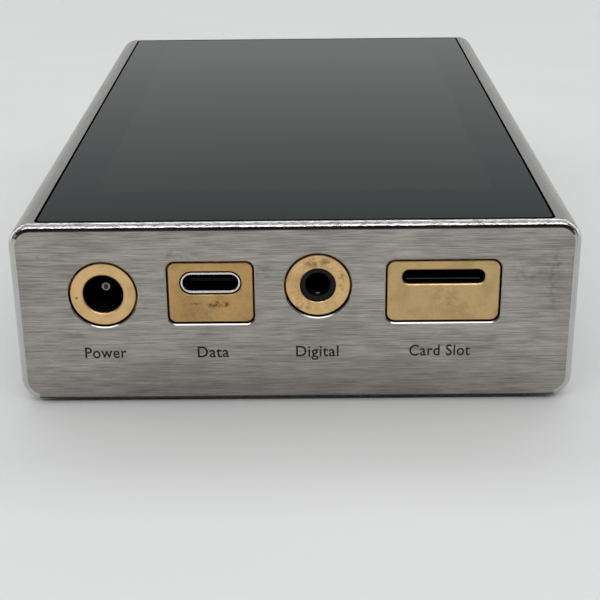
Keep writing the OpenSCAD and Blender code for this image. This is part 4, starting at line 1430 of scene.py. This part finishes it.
@dataclass
class Underside:
    """The screwed back cover, the soft foot ring let into it and six countersunk screws."""

    cover: Size = (77.8, 130.0, 1.8)
    cover_edge: float = 0.12
    ring: Size = (64.0, 114.0, 9.0)
    band: float = 6.0
    ring_edge: float = 0.22
    fit: float = 0.1  # between the ring and its groove
    groove: float = 0.4  # its depth
    screw_x: float = 36.0
    screw_y: tuple[float, ...] = (-61.4, 0.0, 61.4)
    # widest and narrowest radius of a screw's hole, and its taper's depth
    sink: tuple[float, float, float] = (2.1, 1.1, 1.05)
    socket: Pair = (0.82, 0.6)  # radius and depth
    # radius of its face and of its rim, and the rim's depth
    head: tuple[float, float, float] = (1.78, 1.88, 0.08)
    shank: float = 0.85

    def _screw_places(self) -> list[Pair]:
        """Each screw's middle, x and y."""
        return [(x, y) for x in (-self.screw_x, self.screw_x) for y in self.screw_y]

    def _cover(self) -> None:
        """Makes the cover with its groove and countersunk holes."""
        low, high = box_mm("back_cover")
        base, top = low[2], high[2]
        outer, inner = outline(self.ring, self.fit), outline(grown(self.ring, -self.band), -self.fit)
        wide, narrow, taper = outline(disc(self.sink[0])), outline(disc(self.sink[1])), self.sink[2]
        edge, side = outline(self.cover, -self.cover_edge), outline(self.cover)
        places = self._screw_places()
        skin = Skin()
        skin.flat(edge, [outer, *(wide + np.array(place) for place in places)], Plane.Z, base)
        skin.flat(inner, [], Plane.Z, base)
        floor = base + self.groove
        skin.chain([(outer, base), (outer, floor), (inner, floor), (inner, base)], Plane.Z)
        for place in places:
            skin.chain([(wide, base), (narrow, base + taper), (narrow, top)], Plane.Z, place)
        skin.chain([(edge, base), (side, base + self.cover_edge), (side, top)], Plane.Z)
        skin.flat(side, [narrow + np.array(place) for place in places], Plane.Z, top)
        skin.piece("cover_plate", "steel_cover", ["steel_cover"], "back_cover")

    def _foot_ring(self) -> None:
        """Makes the ring: a closed chain of loops with its lower edges rounded."""
        low, high = box_mm("foot_ring")
        inner = grown(self.ring, -self.band)
        rings = [(outline(self.ring), high[2]), *edge_rings(self.ring, self.ring_edge, low[2])[::-1]]
        rings += [*edge_rings(inner, self.ring_edge, low[2], hole=True), (outline(inner), high[2])]
        skin = Skin()
        skin.chain(rings, Plane.Z, closed=True)
        skin.piece("soft_foot", "foot_rubber", ["black_rubber"], "foot_ring")

    def _screws(self) -> None:
        """Makes the six screws, each a turned profile with a six-sided socket."""
        low, high = box_mm("back_cover_screws")
        hexagon, shank = polygon(self.socket[0], 6), outline(disc(self.shank))
        face, rim, drop = self.head
        profile = [(hexagon, self.socket[1]), (hexagon, 0.0), (outline(disc(face)), 0.0),
                   (outline(disc(rim)), drop), (shank, self.sink[2]), (shank, high[2] - low[2])]
        skin = Skin()
        for place in self._screw_places():
            skin.solid([(loop, low[2] + depth) for loop, depth in profile], Plane.Z, place)
        skin.piece("cover_screws", "dark_screw", ["dark_steel"], "back_cover_screws")

    def build(self) -> None:
        """Makes every piece of the underside."""
        self._cover()
        self._foot_ring()
        self._screws()


# ---------------------------------------------------------------- printing


@dataclass(frozen=True)
class Word:
    """A generic word printed on an end face."""

    text: str
    x: float
    base: float = 7.74  # height of the baseline
    rear: bool = False  # on the far end, read from behind
    capital: float = 1.88  # height of a capital
    narrow: float = 0.95  # how much the letters are narrowed
    bold: float = 0.03  # how far the strokes are widened
    raised: float = 0.006  # half the ink's thickness
    spacing: float = 1.06
    capital_share: float = 0.729  # of the typeface's size
    smoothness: int = 6

    def build(self) -> None:
        """Makes the word as a thin raised mesh, each letter an outline of the built-in typeface."""
        name = "word_" + self.text.lower().replace(" ", "_")
        curve = bpy.data.curves.new(name, "FONT")
        curve.body = self.text
        curve.align_x = "CENTER"
        curve.size = self.capital * MM / self.capital_share
        curve.offset = self.bold * MM
        curve.space_character = self.spacing
        curve.extrude = self.raised * MM
        curve.resolution_u = self.smoothness
        made = bpy.data.objects.new(name, curve)
        bpy.context.scene.collection.objects.link(made)
        shaped = bpy.data.meshes.new_from_object(made.evaluated_get(bpy.context.evaluated_depsgraph_get()))
        bpy.data.objects.remove(made)
        low, high = box_mm("chassis")
        face = high[1] if self.rear else low[1]
        upright = Matrix.Rotation(math.pi / 2, 4, "X") @ Matrix.Diagonal((self.narrow, 1.0, 1.0, 1.0))
        turn = Matrix.Rotation(math.pi if self.rear else 0.0, 4, "Z")
        shaped.transform(Matrix.Translation(metres((self.x, face, self.base))) @ turn @ upright)
        shaped.materials.clear()
        shaped.materials.append(WORKSHOP.finish("label_ink"))
        piece = bpy.data.objects.new(name, shaped)
        bpy.context.scene.collection.objects.link(piece)
        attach(piece, HOUSING)
        LOG.info("%s: %d faces", name, len(shaped.polygons))


WORDS = [
    Word("Power", -29.15, narrow=0.9),
    Word("Data", -12.7),
    Word("Digital", 3.25),
    Word("Card Slot", 21.9, narrow=0.88),
    *(Word(text, x, 4.4, rear=True, capital=1.8)
      for text, x in (("Balanced", -28.0), ("Line", -12.0), ("Phones", 3.0))),
]


# ---------------------------------------------------------------- carried-over nodes


KEPT_NODES: dict[str, tuple[str, ...]] = {
    "black_rubber": ("battery_pads",),
    "chip_black": ("display_panel", "processor_chips", "converter_chips"),
    "amber_film": ("display_flex", "board_link_flex"),
    "rolled_alloy": ("mid_plate",),
    "bright_steel": (
        "mid_plate_screws", "board_screws", "switch_board_screws", "processor_shield", "converter_shield",
        "volume_shaft", "volume_bushing", "volume_nut", "button_switches", "card_slider_spring",
    ),
    "dark_steel": ("knob_set_screw",),
    "circuit_board": ("digital_board", "analog_board", "switch_board"),
    "brass_plate": ("board_standoffs",),
    "blue_sleeve": ("filter_capacitors",),
    "ivory_moulding": ("output_relays", "card_slider"),
    "foil_pouch": ("system_battery", "amplifier_battery"),
    "black_moulding": ("dc_inlet_body", "card_socket_base", *(f"{key.name}_plunger" for key in KEYS)),
    "gold": ("jack_contacts", "card_socket_contacts"),
    "plated": ("card_socket_cover",),
    "laminate": ("attenuator_body",),
}


def dress_kept_nodes() -> None:
    """Gives each CAD node that stays in the visual model its finish."""
    for finish, nodes in KEPT_NODES.items():
        for name in nodes:
            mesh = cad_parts[name].data
            mesh.materials.clear()
            mesh.materials.append(WORKSHOP.finish(finish))
            LOG.info("%s keeps its CAD shape, in %s", name, finish)


# ---------------------------------------------------------------- studio


def grey(value: float) -> Colour:
    """A neutral colour."""
    return value, value, value


@dataclass(frozen=True)
class SoftLight:
    """A soft rectangular light; its places and sizes are in metres."""

    name: str
    place: Point  # where it stands
    aim: Point  # what it faces
    size: Pair
    power: float  # watts

    def build(self) -> None:
        """Adds the light to the scene."""
        data = bpy.data.lights.new(self.name, "AREA")
        data.shape = "RECTANGLE"
        data.size, data.size_y = self.size
        data.energy = self.power
        light = bpy.data.objects.new(self.name, data)
        facing = (Vector(self.aim) - Vector(self.place)).to_track_quat("-Z", "Y")
        light.matrix_world = Matrix.Translation(self.place) @ facing.to_matrix().to_4x4()
        bpy.context.scene.collection.objects.link(light)


@dataclass
class Studio:
    """The pale table, the soft lights round it and the camera."""

    eye: Point = (1.585, -246.714, 92.145)
    yaw: float = -0.284  # degrees to the right of +Y
    pitch: float = 22.781  # degrees down
    roll: float = -0.6008  # degrees
    lens: float = 77.395
    sensor: float = 36.0
    near_clip: float = 0.01  # metres
    table_half: float = 3.0  # metres
    table_tones: tuple[Colour, Colour] = ((0.775, 0.788, 0.786), (0.795, 0.808, 0.806))
    table_pitch: float = 0.02
    lights: tuple[SoftLight, ...] = (
        SoftLight("strip_behind", (0.0, 0.6, 0.8), (0.0, 0.0, 0.0), (1.6, 0.3), 2.7),
        SoftLight("strip_before", (0.0, -0.66, 0.8), (0.0, -0.07, 0.0), (1.4, 0.26), 3.5),
        SoftLight("left_wall", (-1.1, 0.1, 0.5), (0.0, 0.0, 0.02), (0.6, 1.2), 3.0),
        SoftLight("right_wall", (1.1, 0.1, 0.5), (0.0, 0.0, 0.02), (0.6, 1.2), 2.8),
    )
    behind: tuple[tuple[float, Colour], ...] = (  # the room's tones behind the object, by height
        (0.0, (0.6, 0.605, 0.605)), (0.17, (0.52, 0.525, 0.525)), (0.25, (0.38, 0.385, 0.385)),
        (0.34, (0.22, 0.24, 0.245)), (0.6, grey(0.48)), (1.0, grey(0.66)),
    )
    before: tuple[tuple[float, Colour], ...] = (  # its tones on the camera's side
        (0.0, grey(0.05)), (0.62, grey(0.03)), (0.7, grey(0.48)), (1.0, grey(0.66)),
    )
    beside: Colour = grey(0.2)  # its tone to the left and right

    def _camera(self) -> None:
        """Places the camera: forward from yaw and pitch, then right and up turned by the roll."""
        yaw, pitch, roll = (math.radians(v) for v in (self.yaw, self.pitch, self.roll))
        ahead = math.cos(pitch)
        forward = Vector((math.sin(yaw) * ahead, math.cos(yaw) * ahead, -math.sin(pitch)))
        level = Vector((math.cos(yaw), -math.sin(yaw), 0.0))
        upright = level.cross(forward)
        right = math.cos(roll) * level + math.sin(roll) * upright
        up = math.cos(roll) * upright - math.sin(roll) * level
        data = bpy.data.cameras.new("camera")
        data.lens = self.lens
        data.sensor_width = self.sensor
        data.clip_start = self.near_clip
        camera = bpy.data.objects.new("camera", data)
        turn = Matrix((right, up, -forward)).transposed().to_4x4()
        camera.matrix_world = Matrix.Translation(Vector(self.eye) * MM) @ turn
        bpy.context.scene.collection.objects.link(camera)
        bpy.context.scene.camera = camera

    def _table(self) -> None:
        """Makes the pale table top."""
        mesh = bpy.data.meshes.new("table")
        corners = rectangle((-self.table_half,) * 2, (self.table_half,) * 2)
        mesh.from_pydata(stand(corners, Plane.Z, 0.0), [], [(0, 1, 2, 3)])
        material, net, place = blank_material("table")
        tone = net.noise(place, self.table_pitch, 3.0).ramp(*CLOUD_SPAN)
        net.surface({"Base Color": net.mix(tone, *self.table_tones), "Roughness": 0.55})
        mesh.materials.append(material)
        table = bpy.data.objects.new("table", mesh)
        bpy.context.scene.collection.objects.link(table)

    def _room(self) -> None:
        """The room round the table: a soft wall behind, a darker room in front, a bright ceiling."""
        world = bpy.data.worlds.new("room")
        bpy.context.scene.world = world
        world.use_nodes = True
        net = Net(world.node_tree)
        across, depth, height = net.split(net.node("ShaderNodeTexCoord", out="Generated"))
        walls = (self.behind, self.before)
        behind, before = (net.node("ShaderNodeValToRGB", {"stops": wall}, {0: height}) for wall in walls)
        before = net.mix(abs(across).ramp(0.4, 0.6), before, self.beside)
        colour = net.mix(depth.ramp(-0.35, 0.1), before, behind)
        background = net.node("ShaderNodeBackground", None, {"Color": colour, "Strength": 1.0})
        net.end("ShaderNodeOutputWorld", background)

    def build(self) -> None:
        """Makes the camera, the table, the room and the lights."""
        self._camera()
        self._table()
        self._room()
        for light in self.lights:
            light.build()
        bpy.context.scene.view_settings.view_transform = "Standard"


def main() -> None:
    """Builds every part in order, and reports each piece."""
    logging.basicConfig(level=logging.INFO, format="%(name)s: %(message)s")
    for part in (Studio(), Housing(), PortEnd(), KnobEnd(), *KEYS, Top(), Underside(), *WORDS):
        part.build()
    dress_kept_nodes()


if __name__ == "__main__":
    main()
